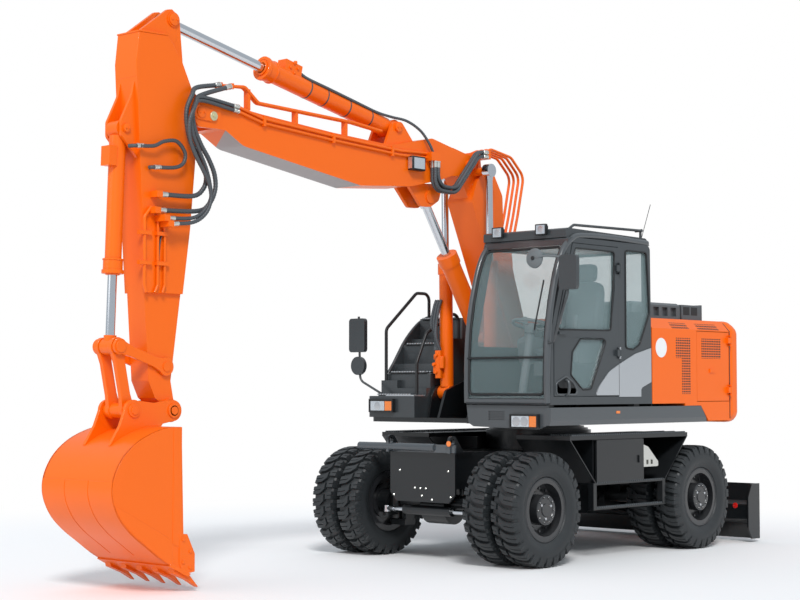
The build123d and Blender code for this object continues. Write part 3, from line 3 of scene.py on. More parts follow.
import bmesh
import bpy
import numpy as np
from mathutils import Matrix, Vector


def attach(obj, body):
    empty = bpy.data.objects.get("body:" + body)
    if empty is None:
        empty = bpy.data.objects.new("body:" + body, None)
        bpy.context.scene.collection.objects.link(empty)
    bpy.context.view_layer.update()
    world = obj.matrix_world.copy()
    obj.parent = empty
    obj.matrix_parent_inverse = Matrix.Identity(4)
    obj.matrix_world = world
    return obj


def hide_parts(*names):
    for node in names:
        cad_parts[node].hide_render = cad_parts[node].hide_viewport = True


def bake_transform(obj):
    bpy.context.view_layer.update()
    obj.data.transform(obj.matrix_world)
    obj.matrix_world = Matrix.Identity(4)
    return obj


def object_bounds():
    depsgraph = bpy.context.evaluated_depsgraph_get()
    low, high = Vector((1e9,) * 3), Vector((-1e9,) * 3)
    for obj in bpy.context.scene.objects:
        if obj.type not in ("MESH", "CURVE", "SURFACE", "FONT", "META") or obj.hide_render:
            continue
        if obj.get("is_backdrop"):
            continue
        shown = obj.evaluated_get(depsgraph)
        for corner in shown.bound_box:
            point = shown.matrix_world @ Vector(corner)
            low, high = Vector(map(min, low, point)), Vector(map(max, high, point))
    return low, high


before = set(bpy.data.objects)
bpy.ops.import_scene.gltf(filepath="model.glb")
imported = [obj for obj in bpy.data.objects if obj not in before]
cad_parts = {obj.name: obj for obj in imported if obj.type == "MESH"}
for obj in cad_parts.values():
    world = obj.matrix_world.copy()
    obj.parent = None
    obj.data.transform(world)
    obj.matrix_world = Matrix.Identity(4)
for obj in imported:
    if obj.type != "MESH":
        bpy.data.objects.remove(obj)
cad_box = [list(map(float, corner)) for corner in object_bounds()]


# Boom, arm, bucket and body panels.
# Welded plate steel and pressed sheet, sprayed in one orange gloss enamel.
# The enamel is clean, with a trace of dust on faces that look up.

# Places in this file are metres from the foot of the swing axis, which SWING puts in the frame.
SWING = np.array([-1.720, 0.0, 0.0])
ORANGE = (0.86, 0.135, 0.001)


def shader_group(name, inputs, outputs):
    """An empty node group; inputs are (label, kind, value) and outputs are (label, kind)."""
    group = bpy.data.node_groups.new(name, "ShaderNodeTree")
    for label, kind, value in inputs:
        socket = group.interface.new_socket(label, in_out="INPUT", socket_type=f"NodeSocket{kind}")
        socket.default_value = value
    for label, kind in outputs:
        group.interface.new_socket(label, in_out="OUTPUT", socket_type=f"NodeSocket{kind}")
    return group, group.nodes.new("NodeGroupInput"), group.nodes.new("NodeGroupOutput")


def preset(node, values):
    """Sets a node's inputs, each named by its label or its number."""
    for socket, value in values.items():
        node.inputs[socket].default_value = value


def added(tree, kind, inputs=None, **settings):
    """A shader node of one kind, put in a node tree with its settings and input values."""
    node = tree.nodes.new(f"ShaderNode{kind}")
    for label, value in settings.items():
        setattr(node, label, value)
    preset(node, inputs or {})
    return node


def wire(tree, *links):
    """Links between nodes, each given as (from, its output, to, its input)."""
    for source, output, target, entry in links:
        tree.links.new(source.outputs[output], target.inputs[entry])


def dust_group():
    """Dust on faces that look up: share = dust * noise of the place * the normal's upward part.

    The paint turns grey by that share, and rougher by half of it.
    """
    group, inside, outside = shader_group(
        "settled_dust",
        (("Paint", "Color", (0.5, 0.5, 0.5, 1)), ("Dust", "Float", 0.1),
         ("Gloss Roughness", "Float", 0.3), ("Grain", "Float", 6.0)),
        (("Color", "Color"), ("Roughness", "Float")))
    place = added(group, "TexCoord")
    noise = added(group, "TexNoise", {"Detail": 5})
    normal = added(group, "NewGeometry")
    split = added(group, "SeparateXYZ")
    up = added(group, "Math", operation="MULTIPLY", use_clamp=True)
    amount = added(group, "Math", operation="MULTIPLY")
    mix = added(group, "Mix", {7: (0.38, 0.38, 0.38, 1)}, data_type="RGBA")
    rough = added(group, "Math", {1: 0.5}, operation="MULTIPLY_ADD")
    wire(group, (place, "Object", noise, "Vector"), (inside, "Grain", noise, "Scale"),
         (normal, "Normal", split, 0), (split, "Z", up, 0), (noise, "Fac", up, 1),
         (up, 0, amount, 0), (inside, "Dust", amount, 1), (amount, 0, mix, 0), (inside, "Paint", mix, 6),
         (mix, 2, outside, "Color"), (amount, 0, rough, 0), (inside, "Gloss Roughness", rough, 2),
         (rough, 0, outside, "Roughness"))
    return group


DUST = dust_group()


def finish(name, colour, roughness=0.35, metallic=0.0, dust=0.0, coat=0.0, grain=6.0, specular=0.5):
    """A finish in one colour; dust and coat are shares from 0 to 1, grain the scale of the dust's noise."""
    material = bpy.data.materials.new(name)
    material.use_nodes = True
    material.diffuse_color = (*colour, 1)
    tree = material.node_tree
    shader = tree.nodes["Principled BSDF"]
    preset(shader, {"Base Color": (*colour, 1), "Roughness": roughness, "Metallic": metallic,
                    "Specular IOR Level": specular, "Coat Weight": coat, "Coat Roughness": 0.08})
    if dust:
        values = {"Paint": (*colour, 1), "Dust": dust, "Gloss Roughness": roughness, "Grain": grain}
        group = added(tree, "Group", values, node_tree=DUST)
        wire(tree, (group, "Color", shader, "Base Color"), (group, "Roughness", shader, "Roughness"))
    return material


def paint(material, *names):
    """Gives CAD nodes one finish."""
    for name in names:
        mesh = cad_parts[name].data
        mesh.materials.clear()
        mesh.materials.append(material)
        mesh.polygons.foreach_set("material_index", np.zeros(len(mesh.polygons), np.int32))


def patch(name, material, low, high):
    """Gives another finish to the faces of a CAD node whose middle lies between two corners."""
    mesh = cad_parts[name].data
    count = len(mesh.polygons)
    middle = np.empty(count * 3)
    mesh.polygons.foreach_get("center", middle)
    middle = middle.reshape(-1, 3) - SWING
    index = np.empty(count, np.int32)
    mesh.polygons.foreach_get("material_index", index)
    mesh.materials.append(material)
    inside = np.all((middle > low) & (middle < high), axis=1)
    index[inside] = len(mesh.materials) - 1
    mesh.polygons.foreach_set("material_index", index)


orange = finish("orange enamel", ORANGE, 0.36, dust=0.03, coat=0.10, specular=0.30)
paint(orange, "lower_boom", "upper_boom", "arm", "bucket", "bucket_link", "bucket_rocker", "counterweight",
      "side_panel_left", "side_panel_right", "service_door_left", "service_door_right", "engine_hood",
      "hood_deck", "boom_ram_barrels", "fold_ram_barrel", "arm_ram_barrel", "bucket_ram_barrel")


# Chassis, axles, blade, cab shell and tank box.
# Thick plate and castings in satin dark grey; the skirt rail and the vent box are a little lighter, and part
# of that lighter grey is a painted highlight.
# The bulkhead behind the cab is black, and the upper boom's underside is pale grey, a painted reflection of
# the white floor.
dark = finish("dark grey enamel", (0.0055, 0.0068, 0.0080), 0.34, dust=0.03, coat=0.15)
cab_grey = finish("cab grey enamel", (0.034, 0.040, 0.044), 0.34, dust=0.08, coat=0.3)
# This grey is partly a painted highlight: it is made lighter to copy the highlight on the skirt rail.
skirt_grey_highlit = finish("skirt grey enamel with painted highlight", (0.062, 0.070, 0.076), 0.30, dust=0.08, coat=0.3)
trim_grey = finish("cab moulding", (0.130, 0.150, 0.158), 0.55)
black = finish("black moulding", (0.010, 0.011, 0.012), 0.45, dust=0.04)
paint(dark, "chassis_frame", "slew_ring", "front_axle", "rear_axle", "drive_line", "front_guard",
      "side_steps", "toolbox_door", "dozer_blade", "blade_ram_barrels", "knuckle_left", "knuckle_right",
      "upper_frame", "engine_block")
paint(cab_grey, "cab_frame", "cab_door", "cab_roof", "mirrors")
paint(trim_grey, "cab_controls")
# The skirts' lighter grey is partly a painted highlight.
paint(skirt_grey_highlit, "skirts")
paint(cab_grey, "tank_box")
paint(black, "handrails", "lamps")
# Pale grey for the upper boom's underside: a painted reflection of the white floor.
underside_reflection = finish("boom underside painted reflection", (0.34, 0.31, 0.31), 0.5)
VENT_BOX = (-1.2, 0.41, 2.346), (-0.29, 0.975, 2.6)
BULKHEAD = (-0.45, -1.2, 1.2), (-0.38, 1.2, 2.3)
UNDERSIDE = (2.90, -0.35, 3.40), (4.45, -0.05, 3.80)
patch("hood_deck", skirt_grey_highlit, *VENT_BOX)
patch("hood_deck", black, *BULKHEAD)
# The upper boom's underside gets the pale grey painted reflection of the floor.
patch("upper_boom", underside_reflection, *UNDERSIDE)


# Cylinder rods and the steering rod.
# Turned steel with hard chrome, ground and polished.
# They are bright and take their look from what stands round them.
chrome = finish("hard chrome", (0.62, 0.64, 0.67), 0.16, metallic=1.0)
paint(chrome, "boom_ram_rods", "fold_ram_rod", "arm_ram_rod", "bucket_ram_rod", "blade_ram_rods",
      "steering_rod")


# Cab windows.
# Toughened panes with a faint green tint, bonded in the frame or carried by the door.
# They are clear enough to show the seat and the levers.
def glass_finish(name, tint, clear):
    """Thin glazing: clear is the share seen through, with a sharp gloss on top."""
    material = finish(name, tint, 0.03, coat=1.0)
    material.diffuse_color = (*tint, 0.3)
    preset(material.node_tree.nodes["Principled BSDF"],
           {"IOR": 1.45, "Transmission Weight": 0.0, "Alpha": 1 - clear, "Coat Roughness": 0.02})
    return material


glazing = glass_finish("tinted glazing", (0.30, 0.42, 0.43), 0.72)
paint(glazing, "cab_glass", "door_glass")


# Tyres, two to a wheel.
# Black rubber with a chevron tread: a long bent block from the middle over one shoulder,
# and a shorter block on the other, half a pitch on. The blocks end on the side wall.
def skin_faces(rows, columns, close_rows=False, close_columns=False):
    """Quads between the points of a grid that is stored row by row, wrapped where it closes."""
    i = np.arange(rows if close_rows else rows - 1)
    j = np.arange(columns if close_columns else columns - 1)
    i, j = np.meshgrid(i, j, indexing="ij")
    next_i, next_j = (i + 1) % rows, (j + 1) % columns
    corners = [i * columns + j, i * columns + next_j, next_i * columns + next_j, next_i * columns + j]
    return np.stack(corners, -1).reshape(-1, 4)


def piece(name, parts, body, material, smooth=0.5):
    """One mesh from (points, faces) pairs; edges sharper than smooth radians stay sharp.

    The faces of a pair are one array, or a list of arrays with as many corners to a face each.
    """
    points, faces, start = [], [], 0
    for part_points, part_faces in parts:
        part_points = np.asarray(part_points, float).reshape(-1, 3)
        points.append(part_points)
        for sheet in part_faces if isinstance(part_faces, list) else [part_faces]:
            faces += (np.asarray(sheet) + start).tolist()
        start += len(part_points)
    mesh = bpy.data.meshes.new(name)
    mesh.from_pydata((np.concatenate(points) + SWING).tolist(), [], faces)
    mesh.materials.append(material)
    obj = bpy.data.objects.new(name, mesh)
    bpy.context.scene.collection.objects.link(obj)
    if smooth:
        mesh.shade_smooth()
        mesh.set_sharp_from_angle(angle=smooth)
    if body:
        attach(obj, body)
    return obj


def lathe(profile, centre, axis=1, turns=64):
    """A profile of (distance along the axis, radius) carried round the axis through centre.

    Point = centre + axis * distance + (cos t, sin t) * radius in the other two directions, with
    sin t turned over when the axis isn't y.
    """
    profile = np.asarray(profile, float)
    t = np.linspace(0, 2 * np.pi, turns, endpoint=False)
    other = [k for k in range(3) if k != axis]
    grid = np.zeros((len(profile), turns, 3))
    grid[..., axis] = profile[:, :1]
    sense = 1 if axis == 1 else -1
    grid[..., other[0]] = profile[:, 1:] * np.cos(t)
    grid[..., other[1]] = profile[:, 1:] * np.sin(t) * sense
    points = grid.reshape(-1, 3) + np.asarray(centre, float)
    return points, skin_faces(len(profile), turns, close_columns=True)


WHEEL_Z = 0.5275
AXLES = (("front", 1.500), ("rear", -1.100))
WHEELS = [(f"{end}_{side}", x, sign) for end, x in AXLES for side, sign in (("left", 1), ("right", -1))]
OUTER_TYRE = 1.1365
TWIN_STEP = 0.334
LUGS = 28
LUG_RADIUS = 0.515
LUG_FOOT = 0.012
LUG_END = 0.44
GROOVE = 0.72


def tyre_side(y):
    """Radius of the bare carcass at a distance y from its middle: flat, then round at the shoulder."""
    return 0.497 - 0.030 * np.clip((np.abs(y) - 0.095) / 0.040, 0, 1) ** 2


def tread_blocks(big):
    """All blocks of one row: u runs along the tread, y across it; each is a lid with steep walls.

    Point = (radius sin a, y, radius cos a), where a = the block's angle + (lean(y) + u width(y) / 2)
    over the lug radius. Along its middle the lid drops to the groove's share of its height.
    """
    u = np.array([-1.0, -0.93, -0.10, -0.045, 0.045, 0.10, 0.93, 1.0])
    if big:
        y = np.array([-0.036, -0.032, 0.012, 0.030, 0.095, 0.122, 0.1365, 0.1372])
        lean = np.interp(y, [-0.036, 0.020, 0.137], [-0.040, 0.004, 0.018])
        width = np.interp(y, [-0.036, 0.020, 0.137], [0.066, 0.078, 0.084])
    else:
        y = -np.array([0.052, 0.056, 0.070, 0.085, 0.100, 0.122, 0.1365, 0.1372])
        lean = np.interp(-y, [0.052, 0.137], [0.006, -0.010])
        width = np.interp(-y, [0.052, 0.137], [0.058, 0.082])
    crown = np.interp(np.abs(y), [0.0, 0.09, 0.122, 0.1365, 0.1372], [0.5275, 0.5265, 0.5160, 0.4620, 0.4350])
    foot = tyre_side(y) - LUG_FOOT
    lid = np.array([0, 1, 1, GROOVE, GROOVE, 1, 1, 0.0])
    ends = np.array([0, 1, 1, 1, 1, 1, 1, 1.0])
    grooved = (np.arange(len(y))[None, :] > 2) | (lid[:, None] != GROOVE)
    share = np.where(grooved, lid[:, None] * ends[None, :], ends[None, :])
    radius = foot + (crown - foot) * share
    radius[:, -1] = np.minimum(radius[:, -1], LUG_END)
    turn = (lean + u[:, None] * width / 2) / LUG_RADIUS
    start = (np.arange(LUGS) + (0 if big else 0.5)) * 2 * np.pi / LUGS
    angle = start[:, None, None] + turn
    points = np.stack([radius * np.sin(angle), np.broadcast_to(y, angle.shape), radius * np.cos(angle)], -1)
    one = skin_faces(len(u), len(y))
    if not big:
        one = one[:, ::-1]
    faces = (np.arange(LUGS)[:, None, None] * u.size * y.size + one).reshape(-1, 4)
    return points.reshape(-1, 3), faces


def tyre_parts(centre, hand):
    """Carcass and tread blocks of one tyre; hand is 1, or -1 for the tread turned to the other side.

    The carcass is half a profile of (y, radius), from the bead to the crown, mirrored and turned.
    """
    y = np.array([0.088, 0.092, 0.100, 0.104, 0.112, 0.1145, 0.124, 0.126, 0.1335, 0.1345, 0.1385, 0.1385,
                  0.1360, 0.1320, 0.122, 0.105, 0.06, 0.0])
    r = np.array([0.256, 0.292, 0.299, 0.303, 0.306, 0.312, 0.330, 0.334, 0.356, 0.358, 0.385, 0.404,
                  0.430, 0.452, 0.480, 0.492, 0.497, 0.498])
    profile = np.concatenate([np.stack([-y, r], 1), np.stack([y, r], 1)[::-1][1:]])
    placed = []
    for points, faces in (lathe(profile, (0, 0, 0), turns=112), tread_blocks(True), tread_blocks(False)):
        placed.append((points * (1, hand, 1) + centre, faces if hand > 0 else faces[:, ::-1]))
    return placed


rubber = finish("tyre rubber", (0.014, 0.017, 0.019), 0.50, dust=0.10, grain=14)
for place, x, sign in WHEELS:
    parts = []
    for step in (0, 1):
        parts += tyre_parts((x, sign * (OUTER_TYRE - step * TWIN_STEP), WHEEL_Z), sign)
    tyres = piece(f"tread_{place}", parts, f"wheel_{place}", rubber)
    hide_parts(f"tyres_{place}")


# Rims and hubs.
# Black pressed steel rims with rolled lips; the hub drum is closed by a cover with
# bolts, bright filler plugs and a yellow level mark.
rim_black = finish("black rim enamel", (0.016, 0.017, 0.019), 0.30, dust=0.10, coat=0.4)
steel = finish("bright steel", (0.55, 0.56, 0.58), 0.28, metallic=1.0)
yellow = finish("yellow mark", (0.75, 0.50, 0.02), 0.4)
RIM_FACE = 1.2405
COVER_OUT, RECESS_OUT, DISC_IN = 0.006, 0.001, 0.085
LIPS = [(0.000, 0.2960), (-0.003, 0.290), (-0.003, 0.284), (0.006, 0.280), (0.012, 0.262), (0.020, 0.258),
        (0.060, 0.2425), (0.075, 0.2415)]
COVER = [(-0.005, 0.140), (0.004, 0.138), (0.006, 0.132), (0.006, 0.104), (0.001, 0.100), (0.001, 0.062),
         (0.010, 0.058), (0.010, 0.0005)]
COVER_BOLTS, RIM_BOLTS, PLUGS = 0.118, 0.196, 0.080
paint(rim_black, *(f"rims_{place}" for place, x, sign in WHEELS))


def studs(centre, ring, count, radius, height, sides=6, start=0.0, axis=1, sign=1):
    """Bolt heads on a circle, all from one array: each is a short prism with a chamfered top.

    Point = centre + ring (cos t, sin t) + level * radius (cos s, sin s), risen along the axis.
    """
    t = start + np.arange(count) * 2 * np.pi / count
    other = [k for k in range(3) if k != axis]
    middle = np.zeros((count, 3))
    middle[:, other[0]] = ring * np.cos(t)
    middle[:, other[1]] = ring * np.sin(t)
    spin = np.linspace(0, 2 * np.pi, sides, endpoint=False)
    levels = np.array([[0.0, 1.0], [0.75, 1.0], [1.0, 0.8], [1.0, 0.02]])
    shape = np.zeros((4, sides, 3))
    shape[..., axis] = levels[:, :1] * height * sign
    shape[..., other[0]] = levels[:, 1:] * radius * np.cos(spin)
    shape[..., other[1]] = levels[:, 1:] * radius * np.sin(spin)
    points = (middle[:, None, None] + shape + np.asarray(centre)).reshape(-1, 3)
    one = skin_faces(4, sides, close_columns=True)
    if (sign > 0) != (axis == 1):
        one = one[:, ::-1]
    faces = (np.arange(count)[:, None, None] * 4 * sides + one).reshape(-1, 4)
    return points, faces


def stud(centre, radius, height, sides=6, **turn):
    """One bolt head or round boss; turn may give its axis and sign."""
    return studs(centre, 0, 1, radius, height, sides, **turn)


for place, x, sign in WHEELS:
    body = f"wheel_{place}"
    face = sign * RIM_FACE
    lips = [(face - sign * d, r) for d, r in LIPS]
    cover = [(face + sign * d, r) for d, r in COVER]
    parts = []
    for profile in (lips, cover):
        points, faces = lathe(profile, (x, 0, WHEEL_Z), turns=72)
        parts.append((points, faces if sign > 0 else faces[:, ::-1]))
    parts.append(studs((x, face + sign * COVER_OUT, WHEEL_Z), COVER_BOLTS, 10, 0.0095, 0.009, sign=sign))
    parts.append(studs((x, face - sign * DISC_IN, WHEEL_Z), RIM_BOLTS, 12, 0.014, 0.016, sign=sign))
    piece(f"hub_cover_{place}", parts, body, rim_black, 0.6)
    middle = (x, face + sign * RECESS_OUT, WHEEL_Z)
    plugs = [studs(middle, PLUGS, 3, 0.013, 0.010, 16, 0.6, sign=sign)]
    piece(f"hub_plugs_{place}", plugs, body, steel, 0.6)
    mark = [studs(middle, PLUGS, 1, 0.012, 0.007, 16, 2.7, sign=sign)]
    piece(f"hub_mark_{place}", mark, body, yellow, 0.6)


# Counterweight.
# One heavy casting, bolted to the tail of the revolving frame.
# Its long edges are ground round, and it has the body colour.
def rounded_copy(name, body, width):
    """A CAD node whose flat faces are joined and whose sharp edges are then turned round."""
    whole = bpy.data.objects.new(f"{name}_rounded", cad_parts[name].data.copy())
    bpy.context.scene.collection.objects.link(whole)
    form = bmesh.new()
    form.from_mesh(whole.data)
    bmesh.ops.remove_doubles(form, verts=form.verts, dist=0.0002)
    bmesh.ops.dissolve_limit(form, angle_limit=0.02, verts=form.verts, edges=form.edges)
    form.to_mesh(whole.data)
    form.free()
    bevel = whole.modifiers.new("edges", "BEVEL")
    bevel.width = width
    bevel.segments = 5
    bevel.use_clamp_overlap = False
    bevel.limit_method = "ANGLE"
    bevel.angle_limit = math.radians(25)
    whole.data.shade_smooth()
    whole.data.set_sharp_from_angle(angle=0.6)
    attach(whole, body)
    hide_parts(name)
    return whole


rounded_copy("counterweight", "upper", 0.045)


# Hydraulic hoses and pipe fittings.
# Steel-braided rubber hose in a wound guard, with zinc-plated ferrules and nuts.
# The bundles cross the joints at both ends of the upper boom and bend there.
def even_steps(line, step):
    """The same line with points at even distances along it: place = the line at way * k / count."""
    way = np.concatenate([[0], np.cumsum(np.linalg.norm(np.diff(line, axis=0), axis=1))])
    at = np.linspace(0, way[-1], int(way[-1] / step) + 2)
    return np.stack([np.interp(at, way, line[:, k]) for k in range(3)], 1)


def bent_path(points, radii, step=0.012):
    """Straight runs joined by arcs tangent to both, cut into even steps.

    Arc point = middle + r (cos t * e1 + sin t * e2), from t = 0 to the turn of the corner.
    """
    p = np.asarray(points, float)
    runs = [p[:1]]
    for k, r in enumerate(radii, 1):
        a, b = p[k - 1] - p[k], p[k + 1] - p[k]
        a, b = a / np.linalg.norm(a), b / np.linalg.norm(b)
        half = np.arccos(np.clip(-a @ b, -1, 1)) / 2
        middle = p[k] + (a + b) / np.linalg.norm(a + b) * r / np.cos(half)
        start = (p[k] + a * r * np.tan(half) - middle) / r
        t = np.linspace(0, 2 * half, 24)[:, None]
        runs.append(middle + r * (np.cos(t) * start - np.sin(t) * a))
    return even_steps(np.concatenate(runs + [p[-1:]]), step)


def soft_path(points, step=0.012):
    """A free curve through the points (Catmull-Rom), cut into even steps.

    Between b and c, with a before and d after, the place is a cubic in t from 0 to 1 whose slopes
    at b and c are half of c - a and half of d - b.
    """
    p = np.asarray(points, float)
    p = np.concatenate([[2 * p[0] - p[1]], p, [2 * p[-1] - p[-2]]])
    t = np.linspace(0, 1, 24, endpoint=False)[:, None]
    runs = [0.5 * (2 * b + (c - a) * t + (2 * a - 5 * b + 4 * c - d) * t**2 + (3 * b - a - 3 * c + d) * t**3)
            for a, b, c, d in zip(p, p[1:], p[2:], p[3:])]
    return even_steps(np.concatenate(runs + [p[-2:-1]]), step)


def tube_skin(path, radius, sides=12, lean=(0.35, 0.90, 0.26)):
    """Rings square to a path: point = path + radius (cos t * side + sin t * up). The ends are closed."""
    path = np.asarray(path, float)
    along = np.gradient(path, axis=0)
    along /= np.linalg.norm(along, axis=1)[:, None]
    side = np.cross(along, lean)
    side /= np.linalg.norm(side, axis=1)[:, None]
    up = np.cross(side, along)
    t = np.linspace(0, 2 * np.pi, sides, endpoint=False)[None, :, None]
    radius = np.broadcast_to(np.asarray(radius, float), len(path))[:, None, None]
    points = path[:, None] + radius * (np.cos(t) * side[:, None] + np.sin(t) * up[:, None])
    first = np.arange(sides)[None]
    last = (len(path) - 1) * sides + first[:, ::-1]
    return points.reshape(-1, 3), [skin_faces(len(path), sides, close_columns=True)[:, ::-1], first, last]


def hose_skin(path, radius, pitch=0.024):
    """A hose in a wound guard: radius * (1 + 0.13 |sin(pi * way / pitch)|) along the way."""
    way = np.arange(len(path)) * np.linalg.norm(path[1] - path[0])
    return tube_skin(path, radius * (1 + 0.13 * np.abs(np.sin(np.pi * way / pitch))), 10)


def fitting(end, toward, radius):
    """Ferrule and nut at a hose's end: rings of their sizes at steps from the end toward the hose."""
    end, toward = np.asarray(end, float), np.asarray(toward, float)
    along = (toward - end) / np.linalg.norm(toward - end)
    steps = np.array([-0.002, 0.0, 0.014, 0.0141, 0.018, 0.0181, 0.060, 0.064])
    size = np.array([0.9, 1.45, 1.45, 1.15, 1.15, 1.28, 1.28, 1.05]) * radius
    return tube_skin(end + along * steps[:, None], size, 12)


hose_black = finish("hose guard", (0.060, 0.068, 0.076), 0.42)
zinc = finish("zinc plating", (0.66, 0.66, 0.62), 0.30, metallic=0.85)
HOSE_STEP = 0.004
# Each hose from boom to arm is the points of its route and its radius.
ARM_HOSES = [
    ([(4.3295, -0.0648, 4.2247), (4.622, -0.022, 4.159), (4.709, 0.02, 4.08), (4.762, 0.02, 3.965),
      (4.766, 0.02, 3.847), (4.727, 0.02, 3.701), (4.661, 0.02, 3.599), (4.589, 0.02, 3.497),
      (4.549, 0.02, 3.4), (4.582, 0.02, 3.304), (4.691, 0.013, 3.236), (5.0205, 0.006, 3.224)], 0.0185),
    ([(4.2349, -0.0334, 4.2204), (4.597, -0.002, 4.093), (4.678, 0.03, 4.016), (4.71, 0.03, 3.911),
      (4.682, 0.03, 3.789), (4.615, 0.03, 3.67), (4.526, 0.03, 3.553), (4.464, 0.03, 3.432),
      (4.457, 0.03, 3.306), (4.523, 0.03, 3.182), (4.644, 0.018, 3.114), (5.0375, 0.006, 3.091)], 0.0185),
    ([(4.1495, -0.0225, 4.0522), (4.602, 0.02, 4.076), (4.701, 0.062, 4.001), (4.749, 0.062, 3.878),
      (4.731, 0.062, 3.746), (4.665, 0.062, 3.62), (4.587, 0.062, 3.477), (4.541, 0.062, 3.338),
      (4.535, 0.062, 3.221), (4.617, 0.062, 3.105), (4.736, 0.056, 3.046), (4.9755, 0.05, 3.028)], 0.0150),
    ([(4.1495, -0.0225, 4.0122), (4.611, 0.031, 4.043), (4.742, 0.085, 3.952), (4.79, 0.085, 3.838),
      (4.783, 0.085, 3.697), (4.728, 0.085, 3.578), (4.64, 0.085, 3.453), (4.573, 0.085, 3.342),
      (4.55, 0.085, 3.218), (4.604, 0.085, 3.096), (4.723, 0.068, 3.013), (4.9355, 0.05, 2.984)], 0.0150),
]
FOLD_HOSE, FOLD_BENDS = 0.0170, [0.120, 0.150, 0.120]
BUCKET_HOSE = [(5.300, -0.075, 3.600), (5.254, -0.020, 3.603), (5.095, 0.0, 3.616), (4.988, 0.0, 3.663),
               (4.853, 0.0, 3.677), (4.764, 0.0, 3.591), (4.782, 0.0, 3.504), (4.878, 0.0, 3.458),
               (5.080, -0.010, 3.443), (5.110, -0.045, 3.440)]
STRAPPED_HOSE = [(3.280, -0.150, 4.475), (3.200, -0.135, 4.437), (2.950, -0.129, 4.382),
                 (2.600, -0.129, 4.306), (2.300, -0.129, 4.242), (2.120, -0.105, 4.215),
                 (1.950, -0.060, 4.190), (1.800, -0.020, 4.110), (1.700, 0.000, 4.000), (1.650, 0.010, 3.915)]
GREASE_LINE = [(4.950, -0.052, 2.930), (4.975, -0.053, 2.860), (4.990, -0.053, 2.760),
               (5.000, -0.053, 2.600), (5.010, -0.053, 2.470)]
arm_hoses = [(soft_path(points, HOSE_STEP), radius) for points, radius in ARM_HOSES]
fold_hoses = []
for y in (-0.008, 0.028):
    for s in (0.0, 0.044):
        points = [(1.640 - s, y, 3.8297), (1.640 - s, y, 3.550 + s), (1.330, y, 3.545 + s),
                  (0.975, y, 3.945 + s), (0.8505, y, 3.945 + s)]
        fold_hoses.append((bent_path(points, FOLD_BENDS, HOSE_STEP), FOLD_HOSE))
for name, hoses, a, b, start, end in (
        ("arm_hoses", arm_hoses, "upper_boom", "arm", (4.36, 0, 4.20), (4.80, 0, 3.22)),
        ("fold_hoses", fold_hoses, "upper_boom", "lower_boom", (1.62, 0, 3.72), (0.92, 0, 3.96))):
    wound = piece(f"{name}_wound", [hose_skin(path, radius) for path, radius in hoses], None, hose_black, 0.8)
    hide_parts(name)
    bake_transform(wound)
    for body, tip, inner in ((a, 0, 8), (b, -1, -9)):
        ends = [fitting(path[tip], path[inner], radius) for path, radius in hoses]
        piece(f"{name}_fittings_{body}", ends, body, zinc, 0.6)

skin = hose_skin(soft_path(BUCKET_HOSE, HOSE_STEP), 0.0150)
loop = piece("bucket_cylinder_hose", [skin], None, hose_black, 0.8)
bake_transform(loop)
port = fitting(BUCKET_HOSE[1], BUCKET_HOSE[2], 0.015)
piece("bucket_cylinder_fitting", [port], "bucket_ram_barrel", zinc, 0.6)
port = fitting(BUCKET_HOSE[-2], BUCKET_HOSE[-3], 0.015)
piece("bucket_hose_port", [port], "arm", zinc, 0.6)
skin = hose_skin(soft_path(STRAPPED_HOSE, HOSE_STEP), 0.012)
strapped = piece("arm_cylinder_hose", [skin], None, hose_black, 0.8)
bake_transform(strapped)
piece("grease_line", [tube_skin(soft_path(GREASE_LINE, 0.02), 0.007, 8)], "arm", hose_black, 0.8)


# Flanges and straps of the arm and bucket cylinders.
# Rings screwed or welded round the barrels, in the body colour, with the port's studs.
# Black straps hold the hose to the arm cylinder.
def prism(outline, axis, low, high):
    """A flat outline carried along an axis from low to high, closed by the outline at both ends.

    Its faces turn outwards whichever way round the outline is given.
    """
    flat = np.asarray(outline, float)
    area = np.sum(flat[:, 0] * np.roll(flat[:, 1], -1) - np.roll(flat[:, 0], -1) * flat[:, 1])
    if (area > 0) == (axis == 1):
        flat = flat[::-1]
    count = len(flat)
    points = np.zeros((2, count, 3))
    points[..., [k for k in range(3) if k != axis]] = flat
    points[0, :, axis], points[1, :, axis] = low, high
    j = np.arange(count)
    after = (j + 1) % count
    walls = np.stack([j, after, count + after, count + j], 1)
    return points.reshape(-1, 3), [walls, count + j[None], j[None, ::-1]]


def slab(x, y, z):
    """A plain box between two corners."""
    return prism([(x[0], z[0]), (x[1], z[0]), (x[1], z[1]), (x[0], z[1])], 1, y[0], y[1])


def soften(obj, width=0.004):
    """Bevelled edges on a piece built of plain boxes."""
    bevel = obj.modifiers.new("edges", "BEVEL")
    bevel.width = width
    bevel.segments = 2
    bevel.limit_method = "ANGLE"
    return obj


def cylinder_rings(foot, eye, y, rings, turns=40):
    """Flanges and straps round a cylinder barrel, each (start, end, inner and outer radius) from the foot.

    Point = foot + along * distance + radius (cos t * side + sin t * y axis).
    """
    foot, eye = np.array((foot[0], y, foot[1])), np.array((eye[0], y, eye[1]))
    along = (eye - foot) / np.linalg.norm(eye - foot)
    across = np.array((0, 1.0, 0))
    side = np.cross(along, across)
    t = np.linspace(0, 2 * np.pi, turns, endpoint=False)[None, :, None]
    parts = []
    for start, end, inner, outer in rings:
        way = np.array([start, start, end, end])[:, None, None]
        radius = np.array([inner, outer, outer, inner])[:, None, None]
        points = foot + way * along + radius * (np.cos(t) * side + np.sin(t) * across)
        parts.append((points.reshape(-1, 3), skin_faces(4, turns, True, True)[:, ::-1]))
    return parts


